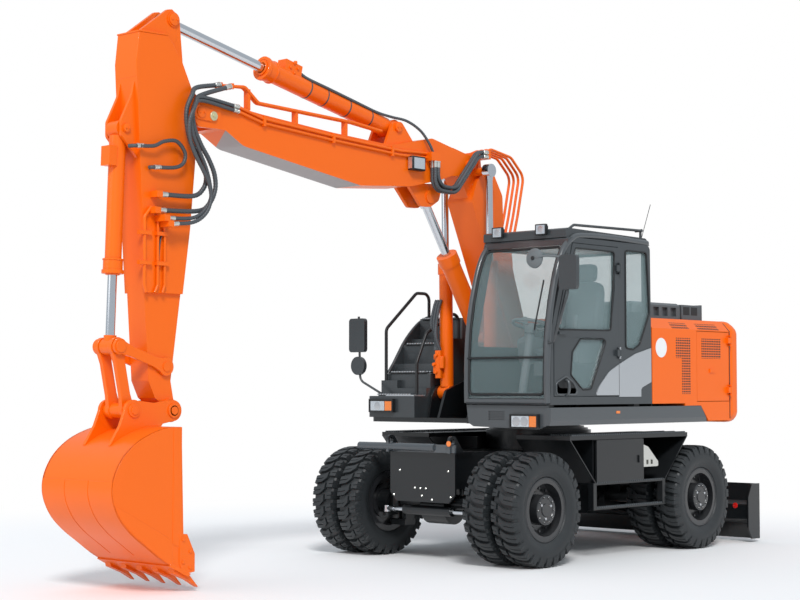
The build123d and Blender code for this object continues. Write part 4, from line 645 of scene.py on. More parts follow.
BOOM_Y = -0.200
ARM_RAM = ((2.068, 4.119), (4.819, 4.713), BOOM_Y)
BUCKET_RAM = ((5.307, 3.748), (5.372, 1.975), BOOM_Y)
flanges = cylinder_rings(*ARM_RAM, [(1.652, 1.684, 0.080, 0.110), (1.560, 1.576, 0.080, 0.106),
                                    (1.680, 1.694, 0.050, 0.070)])
flanges.append(studs((3.375, -0.190, 4.552), 0.050, 3, 0.018, 0.030, 12, axis=2))
flanges.append(studs((3.380, -0.136, 4.512), 0.045, 4, 0.013, 0.018, 6, axis=1))
soften(piece("arm_cylinder_flanges", flanges, "arm_ram_barrel", orange), 0.003)
straps = cylinder_rings(*ARM_RAM, [(d, d + 0.014, 0.080, 0.0895) for d in (0.30, 0.60, 0.90, 1.12)])
piece("hose_straps", straps, "arm_ram_barrel", hose_black)
flanges = cylinder_rings(*BUCKET_RAM, [(1.152, 1.184, 0.060, 0.090), (1.062, 1.076, 0.060, 0.086),
                                       (1.180, 1.194, 0.042, 0.058)])
soften(piece("bucket_cylinder_flanges", flanges, "bucket_ram_barrel", orange), 0.003)


# Valve and feed hoses on the right boom cylinder.
# A small cast block of round ports, screwed to the front of the barrel, in the body colour.
# Three wound hoses lead from it along the barrel.
RAM_FOOT = np.array((0.87, -0.490, 1.6))
ALONG_RAM = np.array((0.03, 0, 2.2)) / np.linalg.norm((0.03, 0, 2.2))
BEFORE_RAM = np.array((ALONG_RAM[2], 0, -ALONG_RAM[0]))
VALVE_OUT = 0.105


def beside_ram(*spots):
    """Points beside the right boom cylinder, each (distance from the foot pin, forward, to the left)."""
    return RAM_FOOT + np.array(spots) @ np.array([ALONG_RAM, BEFORE_RAM, (0, 1, 0)])


valve = [tube_skin(beside_ram((a, VALVE_OUT, y), (b, VALVE_OUT, y)), r, 8) for a, b, y, r in
         ((0.140, 0.420, -0.015, 0.040), (0.190, 0.300, -0.050, 0.034), (0.330, 0.380, -0.045, 0.030),
          (0.240, 0.360, 0.030, 0.030))]
valve += [tube_skin(beside_ram((d, VALVE_OUT, y), (d, VALVE_OUT + 0.060, y)), 0.018, 10) for d, y in
          ((0.200, -0.015), (0.280, -0.040), (0.370, -0.010))]
soften(piece("boom_cylinder_valve", valve, "boom_ram_barrel", orange))
feeds = []
for y in (-0.060, -0.028, 0.006):
    route = beside_ram((0.420, VALVE_OUT, y), (0.560, 0.125 + y, y - 0.030), (0.700, 0.118, y - 0.035),
                       (0.860, 0.104, y - 0.010), (0.930, 0.080, y))
    feeds.append(hose_skin(soft_path(route, 0.005), 0.014))
piece("boom_cylinder_hoses", feeds, "boom_ram_barrel", hose_black, 0.8)


# Pins of the boom, arm and cylinders.
# Turned pins, each with a round cover plate and two locking bolts, in the body colour.
# The arm pin has a long oval cover and a plated washer.
for body, pins in (
        ("upper", [(0.150, 1.900, 0.006, 0.050)]),
        ("lower_boom", [(0.690, 2.170, -0.060, 0.040)]),
        ("upper_boom", [(1.050, 3.850, -0.026, 0.050), (*ARM_RAM[0], -0.060, 0.045),
                        (4.577, 3.955, -0.014, 0.045)]),
        ("arm", [(*ARM_RAM[1], -0.088, 0.050), (*BUCKET_RAM[0], -0.088, 0.034)])):
    caps = [stud((x, y, z), r, 0.014, 28) for x, z, y, r in pins]
    caps += [studs((x, y + 0.012, z), r * 0.55, 2, 0.009, 0.010, 6) for x, z, y, r in pins]
    piece(f"pin_caps_{body}", caps, body, orange)
t = np.linspace(-np.pi / 2, np.pi / 2, 16)
oval = np.concatenate([np.stack([x + r * np.cos(t), z + r * np.sin(t)], 1) for x, z, r in
                       ((4.595, 3.957, 0.062), (4.470, 3.944, -0.055))])
soften(piece("arm_pin_cover", [prism(oval, 1, -0.026, -0.012)], "upper_boom", orange))
pale_zinc = finish("yellow zinc", (0.62, 0.58, 0.36), 0.36, metallic=0.5)
washer = [(-0.026, 0.040), (-0.004, 0.040), (-0.001, 0.036), (-0.001, 0.014), (0.008, 0.012), (0.008, 0.0005)]
piece("arm_pin_washer", [lathe(washer, (4.441, 0, 3.938), turns=32)], "upper_boom", pale_zinc)


# Arm head.
# Two side plates carried up to a folded cap, with the plates of the cylinder eye standing through it.
# All are welded plate, in the body colour.
CHEEK = [(5.228, 4.180), (5.2352, 4.300), (5.207, 4.550), (4.910, 4.560), (4.845, 4.498), (4.780, 4.398),
         (4.850, 4.180)]
WEB = [(4.775, 4.560), (4.790, 4.775), (4.830, 4.800), (4.880, 4.790), (5.185, 4.560), (5.180, 4.400),
       (4.900, 4.400)]
BACK = [(5.2285, 4.180), (5.2358, 4.300), (5.208, 4.552), (5.190, 4.552), (5.190, 4.180)]
CAP = [(5.214, 4.550), (5.214, 4.564), (4.905, 4.574), (4.905, 4.560)]
head = [prism(CHEEK, 1, y, y + 0.0202) for y in (-0.080, -0.3402)]
head += [prism(WEB, 1, y, y + 0.037) for y in (-0.1355, -0.3015)]
head += [prism(BACK, 1, -0.340, -0.060), prism(CAP, 1, -0.345, -0.055)]
soften(piece("arm_head", head, "arm", orange), 0.003)


# Bucket.
# A plate rolled to one smooth curve between two side plates, with wear plates on the back,
# welded ears, bolted side cutters and five teeth on adapters.
def disc(centre, radius, y, count=40):
    """A round plate square to y: its edge is centre + radius (cos t, sin t) in x and z."""
    t = np.linspace(0, 2 * np.pi, count, endpoint=False)
    return prism(np.stack([centre[0] + radius * np.cos(t), centre[1] + radius * np.sin(t)], 1), 1, *y)


def flat_curve(*points):
    """A free curve through places given as (x, z)."""
    return soft_path([(x, 0, z) for x, z in points], 0.020)[:, [0, 2]]


def shifted(line, distance):
    """A curve in the x-z plane moved square to itself: point + distance * its normal."""
    along = np.gradient(line, axis=0)
    along /= np.linalg.norm(along, axis=1)[:, None]
    return line + distance * np.stack([-along[:, 1], along[:, 0]], 1)


def both_sides(low, high):
    """The two spans along y that lie from low to high off the boom's middle plane."""
    return [(BOOM_Y + low, BOOM_Y + high), (BOOM_Y - high, BOOM_Y - low)]


BUCKET_HALF = 0.460
SHELL, STRIP = 0.024, 0.006
NEAR, FAR = BOOM_Y + BUCKET_HALF, BOOM_Y - BUCKET_HALF
BUCKET_PIN = (4.849, 1.456)
BUCKET_LINK_PIN = (5.263, 1.460)
EARS, BOSSES = (0.147, 0.177), (0.1475, 0.190)
EYE_PROUD = 0.0005
TEETH, TOOTH_INSET = 5, 0.055
WEAR_STEP, WEAR_HALF = 0.302, 0.146
EDGE = [(4.999, 1.328), (5.085, 1.326), (5.088, 0.400), (4.999, 0.360)]
CORNER = [(5.668, 0.735), (5.598, 0.606), (5.480, 0.492), (5.340, 0.390), (5.200, 0.290), (5.090, 0.226),
          (5.090, 0.430)]
CUTTER = [(5.020, 0.480), (4.940, 0.470), (4.860, 0.310), (4.860, 0.165), (4.985, 0.152), (5.020, 0.250)]
LIP = [(4.930, 0.128), (4.900, 0.150), (5.100, 0.250), (5.120, 0.225)]
ADAPTER = [(4.905, 0.098), (5.050, 0.160), (5.075, 0.245), (5.000, 0.232), (4.930, 0.190)]
EAR = [(4.775, 1.420), (4.800, 1.528), (4.900, 1.541), (5.050, 1.520), (5.200, 1.538), (5.300, 1.540),
       (5.352, 1.460), (5.400, 1.340), (5.500, 1.185), (5.460, 1.150), (5.250, 1.270), (5.000, 1.300),
       (4.960, 1.350), (4.840, 1.372)]
BLOCK_FACES = np.array([(0, 3, 2, 1), (4, 5, 6, 7), (0, 1, 5, 4), (1, 2, 6, 5), (2, 3, 7, 6), (3, 0, 4, 7)])
curve = flat_curve((5.000, 1.330), (5.150, 1.322), (5.300, 1.282), (5.450, 1.212), (5.580, 1.105),
                   (5.662, 0.975), (5.690, 0.850), (5.668, 0.730), (5.595, 0.600), (5.480, 0.487),
                   (5.340, 0.385), (5.200, 0.285), (5.080, 0.215), (4.965, 0.150))
parts = [prism(np.concatenate([curve, shifted(curve, -SHELL)[::-1]]), 1, FAR + 0.002, NEAR - 0.002)]
for y, inward in ((NEAR, -1), (FAR, 1)):
    for outline, thick, proud in ((curve, SHELL, 0.0), (EDGE, STRIP, 0.004), (CORNER, STRIP, 0.004),
                                  (CUTTER, 0.020, 0.007)):
        parts.append(prism(outline, 1, *sorted((y + inward * thick, y - inward * proud))))
    for x, z in ((4.985, 0.430), (4.985, 0.250), (4.910, 0.330), (4.910, 0.200)):
        parts.append(stud((x, y - inward * 0.006, z), 0.016, 0.012, sign=-inward))
parts.append(prism(LIP, 1, FAR - 0.008, NEAR + 0.008))
wear = curve[(curve[:, 1] < 0.930) & (curve[:, 1] > 0.290)]
wear = np.concatenate([shifted(wear, 0.004), shifted(wear, -0.004)[::-1]])
for k in (-1, 0, 1):
    middle = BOOM_Y + k * WEAR_STEP
    parts.append(prism(wear, 1, middle - WEAR_HALF, middle + WEAR_HALF))
for y in np.linspace(FAR + TOOTH_INSET, NEAR - TOOTH_INSET, TEETH):
    parts.append(prism(ADAPTER, 1, y - 0.036, y + 0.036))
    tooth = [(4.925, s * 0.038, z) for s, z in ((-1, 0.112), (1, 0.112), (1, 0.172), (-1, 0.172))]
    tooth += [(4.795, s * 0.024, z) for s, z in ((-1, 0.032), (1, 0.032), (1, 0.040), (-1, 0.040))]
    parts.append((np.array(tooth) + (0, y, 0), BLOCK_FACES[:, ::-1]))
for low, high in both_sides(*EARS):
    parts.append(prism(EAR, 1, low, high))
    for centre, radius in ((BUCKET_PIN, 0.086), (BUCKET_LINK_PIN, 0.088)):
        parts.append(disc(centre, radius, (low - EYE_PROUD, high + EYE_PROUD)))
for centre, radius in ((BUCKET_LINK_PIN, 0.056), (BUCKET_PIN, 0.060)):
    parts += [disc(centre, radius, span) for span in both_sides(*BOSSES)]
    parts.append(disc(centre, 0.034, (BOOM_Y - 0.198, BOOM_Y + 0.198)))
parts.append(disc(BUCKET_PIN, 0.045, (BOOM_Y - BOSSES[1], BOOM_Y + BOSSES[1])))
bucket = soften(piece("bucket_welded", parts, "bucket", orange), 0.003)
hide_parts("bucket")


# Rocker bars, bucket link and the eye of the bucket cylinder's rod.
# Slender forged bars with round eyes; the link's cross tube carries the lower pin.
# They turn on greased pins, and the rod's eye is sprayed with them.
def bar_between(a, b, waist, eyes, y):
    """A flat bar from pin a to pin b, waist half its height, with a round eye at each end."""
    a, b = np.asarray(a, float), np.asarray(b, float)
    along = (b - a) / np.linalg.norm(b - a)
    square = np.array([-along[1], along[0]])
    first, second = a * 0.75 + b * 0.25, a * 0.25 + b * 0.75
    at_a, at_b, at_waist = square * eyes[0] * 0.9, square * eyes[1] * 0.9, square * waist
    sheet = [a + at_a, a - at_a, first - at_waist, second - at_waist, b - at_b, b + at_b,
             second + at_waist, first + at_waist]
    span = (y[0] - EYE_PROUD, y[1] + EYE_PROUD)
    return [prism(sheet, 1, *y), disc(a, eyes[0], span), disc(b, eyes[1], span)]


ROCKER_PIN = (4.895, 1.816)
LINK_PIN = BUCKET_RAM[1]
ROD_EYE = (5.290, -0.30, 1.890), (5.455, -0.10, 2.060)
bars = []
for span, pin, collar in zip(both_sides(0.116, 0.141), both_sides(0.062, 0.149), both_sides(0.141, 0.151)):
    bars += bar_between(ROCKER_PIN, LINK_PIN, 0.042, (0.075, 0.066), span)
    bars += [disc(LINK_PIN, 0.036, pin), disc(LINK_PIN, 0.050, collar)]
rocker = soften(piece("rocker_bars", bars, "bucket_rocker", orange), 0.003)
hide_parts("bucket_rocker")
patch("bucket_ram_rod", orange, *ROD_EYE)
bars = [disc(BUCKET_LINK_PIN, 0.062, (BOOM_Y - 0.141, BOOM_Y + 0.141))]
for span in both_sides(0.064, 0.108):
    bars += bar_between(LINK_PIN, BUCKET_LINK_PIN, 0.046, (0.075, 0.070), span)
link = soften(piece("link_bars", bars, "bucket_link", orange), 0.003)
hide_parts("bucket_link")


# Work lamps and head lamps.
# Black housings with a bright reflector behind clear lenses, and an amber turn light.
# The work lamps stand at the front edge of the cab's roof, and one is screwed to the upper boom.
lens = finish("lamp lens", (0.62, 0.66, 0.70), 0.14, metallic=0.75, coat=1.0)
amber = finish("amber lens", (0.85, 0.20, 0.01), 0.12, coat=1.0)
red = finish("red lens", (0.60, 0.015, 0.012), 0.15, coat=1.0)
WORK_LAMPS = (0.395, 0.925)
WORK_LAMP_Z = (3.092, 3.196)
HEAD_LAMP_Z = (1.280, 1.380)
FAR_LAMP_Z = (1.413, 1.507)
houses, lenses = [], []
for y in WORK_LAMPS:
    houses += [slab((1.120, 1.150), (y - 0.062, y + 0.062), WORK_LAMP_Z),
               slab((1.080, 1.122), (y - 0.040, y + 0.040), (3.104, 3.184))]
    for across, height in (((-0.062, -0.053), WORK_LAMP_Z), ((0.053, 0.062), WORK_LAMP_Z),
                           ((-0.053, 0.053), (3.187, 3.196)), ((-0.053, 0.053), (3.092, 3.101))):
        houses.append(slab((1.150, 1.158), (y + across[0], y + across[1]), height))
    lenses.append(slab((1.149, 1.153), (y - 0.052, y + 0.052), (3.102, 3.186)))
lenses += [slab((1.433, 1.438), (0.795, 1.000), HEAD_LAMP_Z),
           slab((1.273, 1.278), (-1.170, -0.980), FAR_LAMP_Z)]
soften(piece("work_lamp_houses", houses, "upper", black))
piece("lamp_lenses", lenses, "upper", lens)
bowls = [((1.4375, 0.850, 1.330), 0.044), ((1.4375, 0.945, 1.330), 0.044), ((1.2775, -1.075, 1.460), 0.040)]
bowls += [((1.152, y, 3.144), 0.034) for y in WORK_LAMPS]
reflectors = [stud(place, radius, 0.003, 28, axis=0) for place, radius in bowls]
piece("lamp_reflectors", reflectors, "upper", steel)
turn_lights = [slab((1.433, 1.440), (1.006, 1.087), HEAD_LAMP_Z),
               slab((1.273, 1.279), (-0.972, -0.880), FAR_LAMP_Z),
               slab((0.300, 0.360), (1.227, 1.232), (1.395, 1.420))]
piece("turn_lights", turn_lights, "upper", amber)
boom_lamp = [slab((1.782, 1.968), (-0.035, 0.034), (3.716, 3.852))]
soften(piece("boom_lamp_house", boom_lamp, "upper_boom", black), 0.010)
boom_lens = [slab((1.966, 1.971), (-0.024, 0.024), (3.730, 3.838)),
             slab((1.800, 1.950), (0.032, 0.037), (3.732, 3.836))]
piece("boom_lamp_lens", boom_lens, "upper_boom", lens)


# Cab front and trim.
# A bent tube frame carries one curved windscreen; the panes sit in rubber seals.
# A cross bar and a wiper lie over the screen, and the lower sides are silver enamel.
silver = finish("silver enamel", (0.46, 0.48, 0.50), 0.30, metallic=0.55, coat=0.4)
seal = finish("rubber seal", (0.010, 0.011, 0.012), 0.55)
DOOR_SIDE = (0.33, 1.2295, 1.55), (0.72, 1.26, 1.88)
FRAME_SIDE = (-0.26, 1.2262, 1.55), (0.34, 1.26, 2.05)
patch("cab_door", silver, *DOOR_SIDE)
patch("cab_frame", silver, *FRAME_SIDE)


def opened(name, body, *cuts):
    """A CAD node with closed shapes cut out of it, each given as (points, faces)."""
    whole = bpy.data.objects.new(f"{name}_opened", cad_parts[name].data.copy())
    bpy.context.scene.collection.objects.link(whole)
    tools = [piece(f"{name}_cut_{k}", [cut], None, seal, 0) for k, cut in enumerate(cuts)]
    for tool in tools:
        step = whole.modifiers.new("opening", "BOOLEAN")
        step.operation = "DIFFERENCE"
        step.object = tool
    view = bpy.context.evaluated_depsgraph_get()
    mesh = bpy.data.meshes.new_from_object(whole.evaluated_get(view))
    whole.modifiers.clear()
    whole.data = mesh
    for tool in tools:
        bpy.data.objects.remove(tool)
    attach(whole, body)
    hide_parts(name)
    return whole


def rounded(outline, radius=0.035):
    """The outline with every corner turned by an arc, from the middle of its last side on."""
    flat = np.column_stack([np.asarray(outline, float), np.zeros(len(outline))])
    closed = np.concatenate([(flat[-1:] + flat[:1]) / 2, flat, (flat[-1:] + flat[:1]) / 2])
    return bent_path(closed, [radius] * len(outline), 0.010)[:-1, :2]


def face_bead(outline, radius=0.008, y=1.2275):
    """A round bead along an outline on the cab's left face."""
    line = np.concatenate([outline, outline[:2]])
    return tube_skin(np.stack([line[:, 0], np.full(len(line), y), line[:, 1]], 1), radius, 8, (0, 1, 0.01))


FRONT_Z = [1.50, 1.70, 1.95, 2.20, 2.45, 2.70, 2.85, 2.96, 3.04]
FRONT_X = [1.418, 1.420, 1.414, 1.392, 1.345, 1.275, 1.215, 1.145, 1.040]
LEFT_PILLAR, RIGHT_PILLAR = 1.200, 0.235
LEVEL_BAR = (1, 0, 0.2)
quarter = rounded([(0.188, 2.985), (-0.175, 2.985), (-0.222, 2.380), (-0.050, 2.070), (0.060, 2.018),
                   (0.190, 2.030)])
front_opening = slab((1.300, 1.500), (0.270, 1.165), (1.560, 2.300))
opened("cab_frame", "upper", front_opening, prism(quarter, 1, 1.150, 1.240))
opened("lamps", "upper", slab((0.950, 1.140), (0.300, 1.130), (3.130, 3.350)))
roof_edges = (slab((-0.300, 1.200), (1.194, 1.260), (3.000, 3.180)),
              slab((1.112, 1.200), (0.150, 1.260), (3.000, 3.180)))
opened("cab_roof", "upper", *roof_edges)
tubes = []
for y, radius in ((LEFT_PILLAR, 0.030), (RIGHT_PILLAR, 0.026)):
    pillar = [(x, y, z) for x, z in zip(FRONT_X, FRONT_Z)]
    pillar += [(0.90, y, 3.085), (0.40, y, 3.098), (-0.22, y, 3.080)]
    tubes.append(tube_skin(soft_path(pillar, 0.03), radius, 14))
for x, z in ((1.420, 1.515), (1.085, 3.020)):
    line = bent_path([(x, RIGHT_PILLAR, z), (x, LEFT_PILLAR, z)], [], 0.05)
    tubes.append(tube_skin(line, 0.026, 14, LEVEL_BAR))
piece("cab_tubes", tubes, "upper", skirt_grey_highlit, 0.8)
# The windscreen lies on the pillars' curve: point = (curve at z, y, z) over a grid of y and z.
rows, columns = 30, 12
z, y = np.meshgrid(np.linspace(1.545, 3.000, rows), np.linspace(0.245, 1.192, columns), indexing="ij")
screen = np.stack([np.interp(z, FRONT_Z, FRONT_X) - 0.004, y, z], -1).reshape(-1, 3)
right_pane = [(-0.130, 2.040), (1.290, 2.040), (1.040, 2.980), (-0.130, 2.980)]
panes = [(screen, skin_faces(rows, columns)[:, ::-1]), prism(quarter, 1, 1.204, 1.210),
         prism(right_pane, 1, 0.225, 0.231), slab((-0.248, -0.242), (0.2905, 1.1445), (2.4005, 2.9795))]
windows = piece("cab_windows", panes, "upper", glazing)
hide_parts("cab_glass")
cross_bar = bent_path([(1.425, 0.240, 1.925), (1.425, 1.195, 1.925)], [], 0.05)
wiper = soft_path([(1.424, 1.060, 2.180), (1.412, 1.078, 2.300), (1.345, 1.112, 2.646)], 0.03)
rim = rounded([(0.268, 1.580), (0.268, 2.965), (1.168, 2.965), (1.168, 1.580)], 0.050)
rim = np.concatenate([rim, rim[:2]])
rim = np.stack([np.interp(rim[:, 1], FRONT_Z, FRONT_X) + 0.002, rim[:, 0], rim[:, 1]], 1)
trim = [tube_skin(cross_bar, 0.011, 10, LEVEL_BAR), tube_skin(wiper, 0.008, 8),
        tube_skin(rim, 0.012, 8, (1, 0, 0.01)), face_bead(quarter)]
piece("window_seals", trim, "upper", seal, 0.8)


# Cab door.
# A steel door with two panes in rubber seals, a smooth outer sheet and a recessed pull.
# The sheet is bonded on in the cab's grey; the pull is a bent tube in a ringed recess.
upper_pane = rounded([(0.440, 2.195), (1.295, 2.185), (1.010, 2.960), (0.370, 2.960)])
lower_pane = rounded([(0.505, 2.110), (0.935, 2.104), (1.062, 1.980), (1.088, 1.765), (0.900, 1.622),
                      (0.765, 1.630)])
piece("door_window_seals", [face_bead(upper_pane), face_bead(lower_pane)], "cab_door", seal, 0.8)
sheet = [(1.302, 2.135), (0.930, 2.115), (1.066, 1.984), (1.093, 1.760), (0.900, 1.612), (0.765, 1.610),
         (1.302, 1.610)]
soften(piece("door_cover", [prism(sheet, 1, 1.2200, 1.2265)], "cab_door", cab_grey), 0.002)
recess = rounded([(1.315, 1.580), (1.315, 1.690), (1.165, 1.750), (1.050, 1.690), (0.960, 1.580)])
handle = soft_path([(1.165, 1.2290, 1.715), (1.165, 1.258, 1.700), (1.166, 1.266, 1.645),
                    (1.167, 1.258, 1.590), (1.167, 1.2290, 1.575)], 0.01)
pull = [face_bead(recess, 0.009, 1.2295), tube_skin(handle, 0.014, 12)]
piece("door_pull", pull, "cab_door", skirt_grey_highlit, 0.8)
piece("door_pull_recess", [prism(recess, 1, 1.2240, 1.2290)], "cab_door", seal)


# Driver's seat.
# Foam cushions with side rolls in grey cloth, screwed to the seat base.
# Seat, back and head rest are separate cushions.
def pad(centre, half, lean=0.0, edge=0.35, rows=24, turns=40):
    """A cushion: |x|^p + |y|^p + |z|^p = 1 with p = 2 / edge, leant about the width by the angle lean.

    x = cos^e v * cos^e u, y = cos^e v * sin^e u, z = sin^e v, each with the sign of its base.
    """
    def power(value):
        return np.sign(value) * np.abs(value) ** edge
    v = np.linspace(-np.pi / 2, np.pi / 2, rows)[:, None]
    u = np.linspace(0, 2 * np.pi, turns, endpoint=False)[None, :]
    x = power(np.cos(v)) * power(np.cos(u)) * half[0]
    y = power(np.cos(v)) * power(np.sin(u)) * half[1]
    z = power(np.sin(v)) * np.ones_like(u) * half[2]
    x, z = x * math.cos(lean) + z * math.sin(lean), z * math.cos(lean) - x * math.sin(lean)
    points = np.stack([x, y, z], -1) + np.asarray(centre)
    return points.reshape(-1, 3), skin_faces(rows, turns, close_columns=True)


cloth = finish("seat cloth", (0.115, 0.140, 0.150), 0.85)
SEAT_Y = 0.7175
BACK_LEAN = -0.13
pads = [pad((0.465, SEAT_Y, 1.965), (0.250, 0.232, 0.064)),
        pad((0.190, SEAT_Y, 2.365), (0.058, 0.222, 0.330), BACK_LEAN),
        pad((0.138, SEAT_Y, 2.785), (0.045, 0.125, 0.090), -0.08, 0.5)]
pads += [pad((0.475, SEAT_Y + s * 0.205, 1.990), (0.215, 0.030, 0.050), 0, 0.6) for s in (-1, 1)]
pads += [pad((0.215, SEAT_Y + s * 0.195, 2.350), (0.045, 0.030, 0.250), BACK_LEAN, 0.6) for s in (-1, 1)]
seat = piece("seat_pads", pads, "upper", cloth, 0.9)
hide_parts("seat_cushions")


# Side disc, antenna and mirrors.
# A blank white enamel disc on the side panel and a whip antenna on a rubber foot.
# The round mirror has a moulded shell on a bent arm; two flat glasses sit in the square mirrors.
white = finish("white disc", (0.80, 0.81, 0.82), 0.35, coat=0.3)
blank = lathe([(1.2245, 0.098), (1.2275, 0.098), (1.2275, 0.0005)], (-0.427, 0, 2.045), turns=48)
piece("blank_disc", [blank], "upper", white)
whip = soft_path([(-0.230, 1.125, 3.110), (-0.270, 1.125, 3.200), (-0.404, 1.125, 3.490)], 0.02)
antenna = [tube_skin(whip, 0.0035, 6), stud((-0.230, 1.125, 3.095), 0.020, 0.030, 16, axis=2)]
piece("antenna", antenna, "upper", black, 0.8)
shell = [(-0.034, 0.0005), (-0.034, 0.086), (-0.026, 0.094), (-0.010, 0.090), (0.002, 0.066), (0.008, 0.034),
         (0.009, 0.0005)]
mirror_arm = soft_path([(1.462, 1.085, 2.845), (1.470, 1.130, 2.850), (1.450, 1.220, 2.862),
                        (1.435, 1.330, 2.850), (1.435, 1.450, 2.830)], 0.02)
round_mirror = [lathe(shell, (1.468, 1.085, 2.845), 0, 36), tube_skin(mirror_arm, 0.011, 8)]
piece("round_mirror_shell", round_mirror, "upper", trim_grey, 0.6)
piece("round_mirror_hub", [stud((1.474, 1.085, 2.845), 0.020, 0.012, 16, axis=0)], "upper", black)
mirror_glass = finish("mirror glass", (0.75, 0.78, 0.80), 0.03, metallic=1.0)
glasses = [slab((1.408, 1.4115), (1.380, 1.560), (2.560, 2.840)),
           slab((1.1735, 1.1765), (-1.520, -1.320), (2.025, 2.345))]
piece("mirror_glasses", glasses, "upper", mirror_glass)


# Grilles and seams of the engine bay.
# Pressed sheet in the body colour with rows of slots; the dark bay shows through them.
# A rubber seam runs up both sides of the tail, and the vent box goes on to the rear.
def slot_group():
    """Rows of slots: the bay's colour where x / pitch and z / pitch both pass a share of their step."""
    group, inside, outside = shader_group(
        "slot_rows",
        (("Sheet", "Color", (0.8, 0.1, 0.01, 1)), ("Bay", "Color", (0.01, 0.01, 0.01, 1)),
         ("Pitch X", "Float", 0.034), ("Pitch Z", "Float", 0.026)),
        (("Color", "Color"),))
    place = added(group, "TexCoord")
    split = added(group, "SeparateXYZ")
    wire(group, (place, "Object", split, 0))
    both = added(group, "Math", operation="MULTIPLY")
    for k, (axis, share) in enumerate((("X", 0.25), ("Z", 0.38))):
        ratio = added(group, "Math", operation="DIVIDE")
        part = added(group, "Math", operation="FRACT")
        over = added(group, "Math", {1: share}, operation="GREATER_THAN")
        wire(group, (split, axis, ratio, 0), (inside, f"Pitch {axis}", ratio, 1), (ratio, 0, part, 0),
             (part, 0, over, 0), (over, 0, both, k))
    mix = added(group, "Mix", data_type="RGBA")
    wire(group, (both, 0, mix, 0), (inside, "Sheet", mix, 6), (inside, "Bay", mix, 7),
         (mix, 2, outside, "Color"))
    return group


slotted = finish("slotted sheet", ORANGE, 0.45)
tree = slotted.node_tree
slots = added(tree, "Group", node_tree=slot_group())
preset(slots, {"Sheet": (*ORANGE, 1)})
wire(tree, (slots, "Color", tree.nodes["Principled BSDF"], "Base Color"))
GRILLE = [(-0.690, 2.150), (-0.690, 1.945), (-0.805, 1.945), (-0.805, 1.580), (-0.960, 1.580),
          (-0.960, 2.150)]
SHOULDER = [(1.2262, 2.2410), (1.2242, 2.2380), (1.1445, 2.3240), (1.1465, 2.3260)]
fixed = [prism(GRILLE, 1, 1.2240, 1.2262)]
fixed += [prism(SHOULDER, 0, *span) for span in ((-0.945, -0.640), (-1.520, -1.120))]
piece("grilles_fixed", fixed, "upper", slotted)
SEAM = (-1.720, -1.708)
seams = [slab(SEAM, sorted((s * 1.2235, s * 1.2278)), (1.320, 2.240)) for s in (-1, 1)]
for s in (-1, 1):
    over_shoulder = [(s * 1.2285, 2.2402), (s * 1.2250, 2.2370), (s * 1.1445, 2.3235), (s * 1.1470, 2.3270)]
    seams.append(prism(over_shoulder, 0, *SEAM))
piece("tail_seams", seams, "upper", seal, 0.3)
vent = [slab((-1.590, -1.200), (0.412, 0.968), (2.352, 2.512)),
        slab((-1.590, -1.575), (0.412, 0.972), (2.352, 2.520))]
soften(piece("vent_box_rear", vent, "upper", skirt_grey_highlit), 0.006)
vent_slots = [slab((x, x + 0.118), (0.9675, 0.9695), (2.405, 2.490)) for x in (-1.500, -1.350)]
piece("vent_box_slots", vent_slots, "upper", seal, 0.3)
for name, side, y in (("grille_door", "left", (1.2235, 1.2255)),
                      ("grille_door_right", "right", (-1.2255, -1.2235))):
    piece(name, [slab((-1.545, -1.175), y, (1.946, 2.152))], f"service_door_{side}", slotted)


# Wheel chock, front plate bolts, bumper light and step teeth.
# The chock in the side frame and the plate's hex bolts are zinc plated; the bumper light is amber.
# Both side steps and the deck over them have punched teeth along their edges.
CHOCK = (-0.435, 0.5, 0.855), (-0.157, 1.2, 1.092)
patch("side_steps", zinc, *CHOCK)
PLATE_BOLTS = [(-0.09, 0.69), (-0.02, 0.69), (0.05, 0.69), (0.126, 0.585), (0.0, 0.62), (-0.283, 0.854),
               (0.33, 0.86), (0.36, 0.62), (-0.36, 0.62)]
bolts = [stud((1.802, y, z), 0.011, 0.009, axis=0) for y, z in PLATE_BOLTS]
piece("front_plate_bolts", bolts, "chassis", zinc)
piece("bumper_light", [stud((1.875, 0.400, 1.120), 0.026, 0.012, 20, axis=0)], "chassis", amber)


def tread_teeth(x, y, z, pitch=0.036, width=0.55, height=0.012):
    """A row of punched teeth along a step: one low block per pitch, width times as long as the pitch.

    Point = corner * (width * pitch, depth, height) + start + k * pitch, all from one array.
    """
    count = int((x[1] - x[0]) / pitch)
    start = x[0] + np.arange(count) * pitch
    corners = np.array([(0, 0, 0), (1, 0, 0), (1, 1, 0), (0, 1, 0),
                        (0.2, 0.1, 1), (0.8, 0.1, 1), (0.8, 0.9, 1), (0.2, 0.9, 1)])
    points = corners * (pitch * width, y[1] - y[0], height) + np.array((0, y[0], z))
    points = points[None] + np.stack([start, 0 * start, 0 * start], 1)[:, None]
    return points.reshape(-1, 3), (np.arange(count)[:, None, None] * 8 + BLOCK_FACES).reshape(-1, 4)


STEP_ROWS = (((-0.900, 1.060), 1.185, 1.190), ((-0.900, 1.060), 1.060, 1.190),
             ((-0.900, 1.060), 0.935, 1.190), ((-0.500, 0.660), 1.185, 0.730),
             ((-0.500, 0.690), 1.185, 0.496), ((-0.500, 0.690), 1.150, 0.496))
teeth = [tread_teeth(x, (s * y - 0.012, s * y + 0.012), z) for s in (-1, 1) for x, y, z in STEP_ROWS]
piece("step_teeth", teeth, "chassis", skirt_grey_highlit, 0.3)
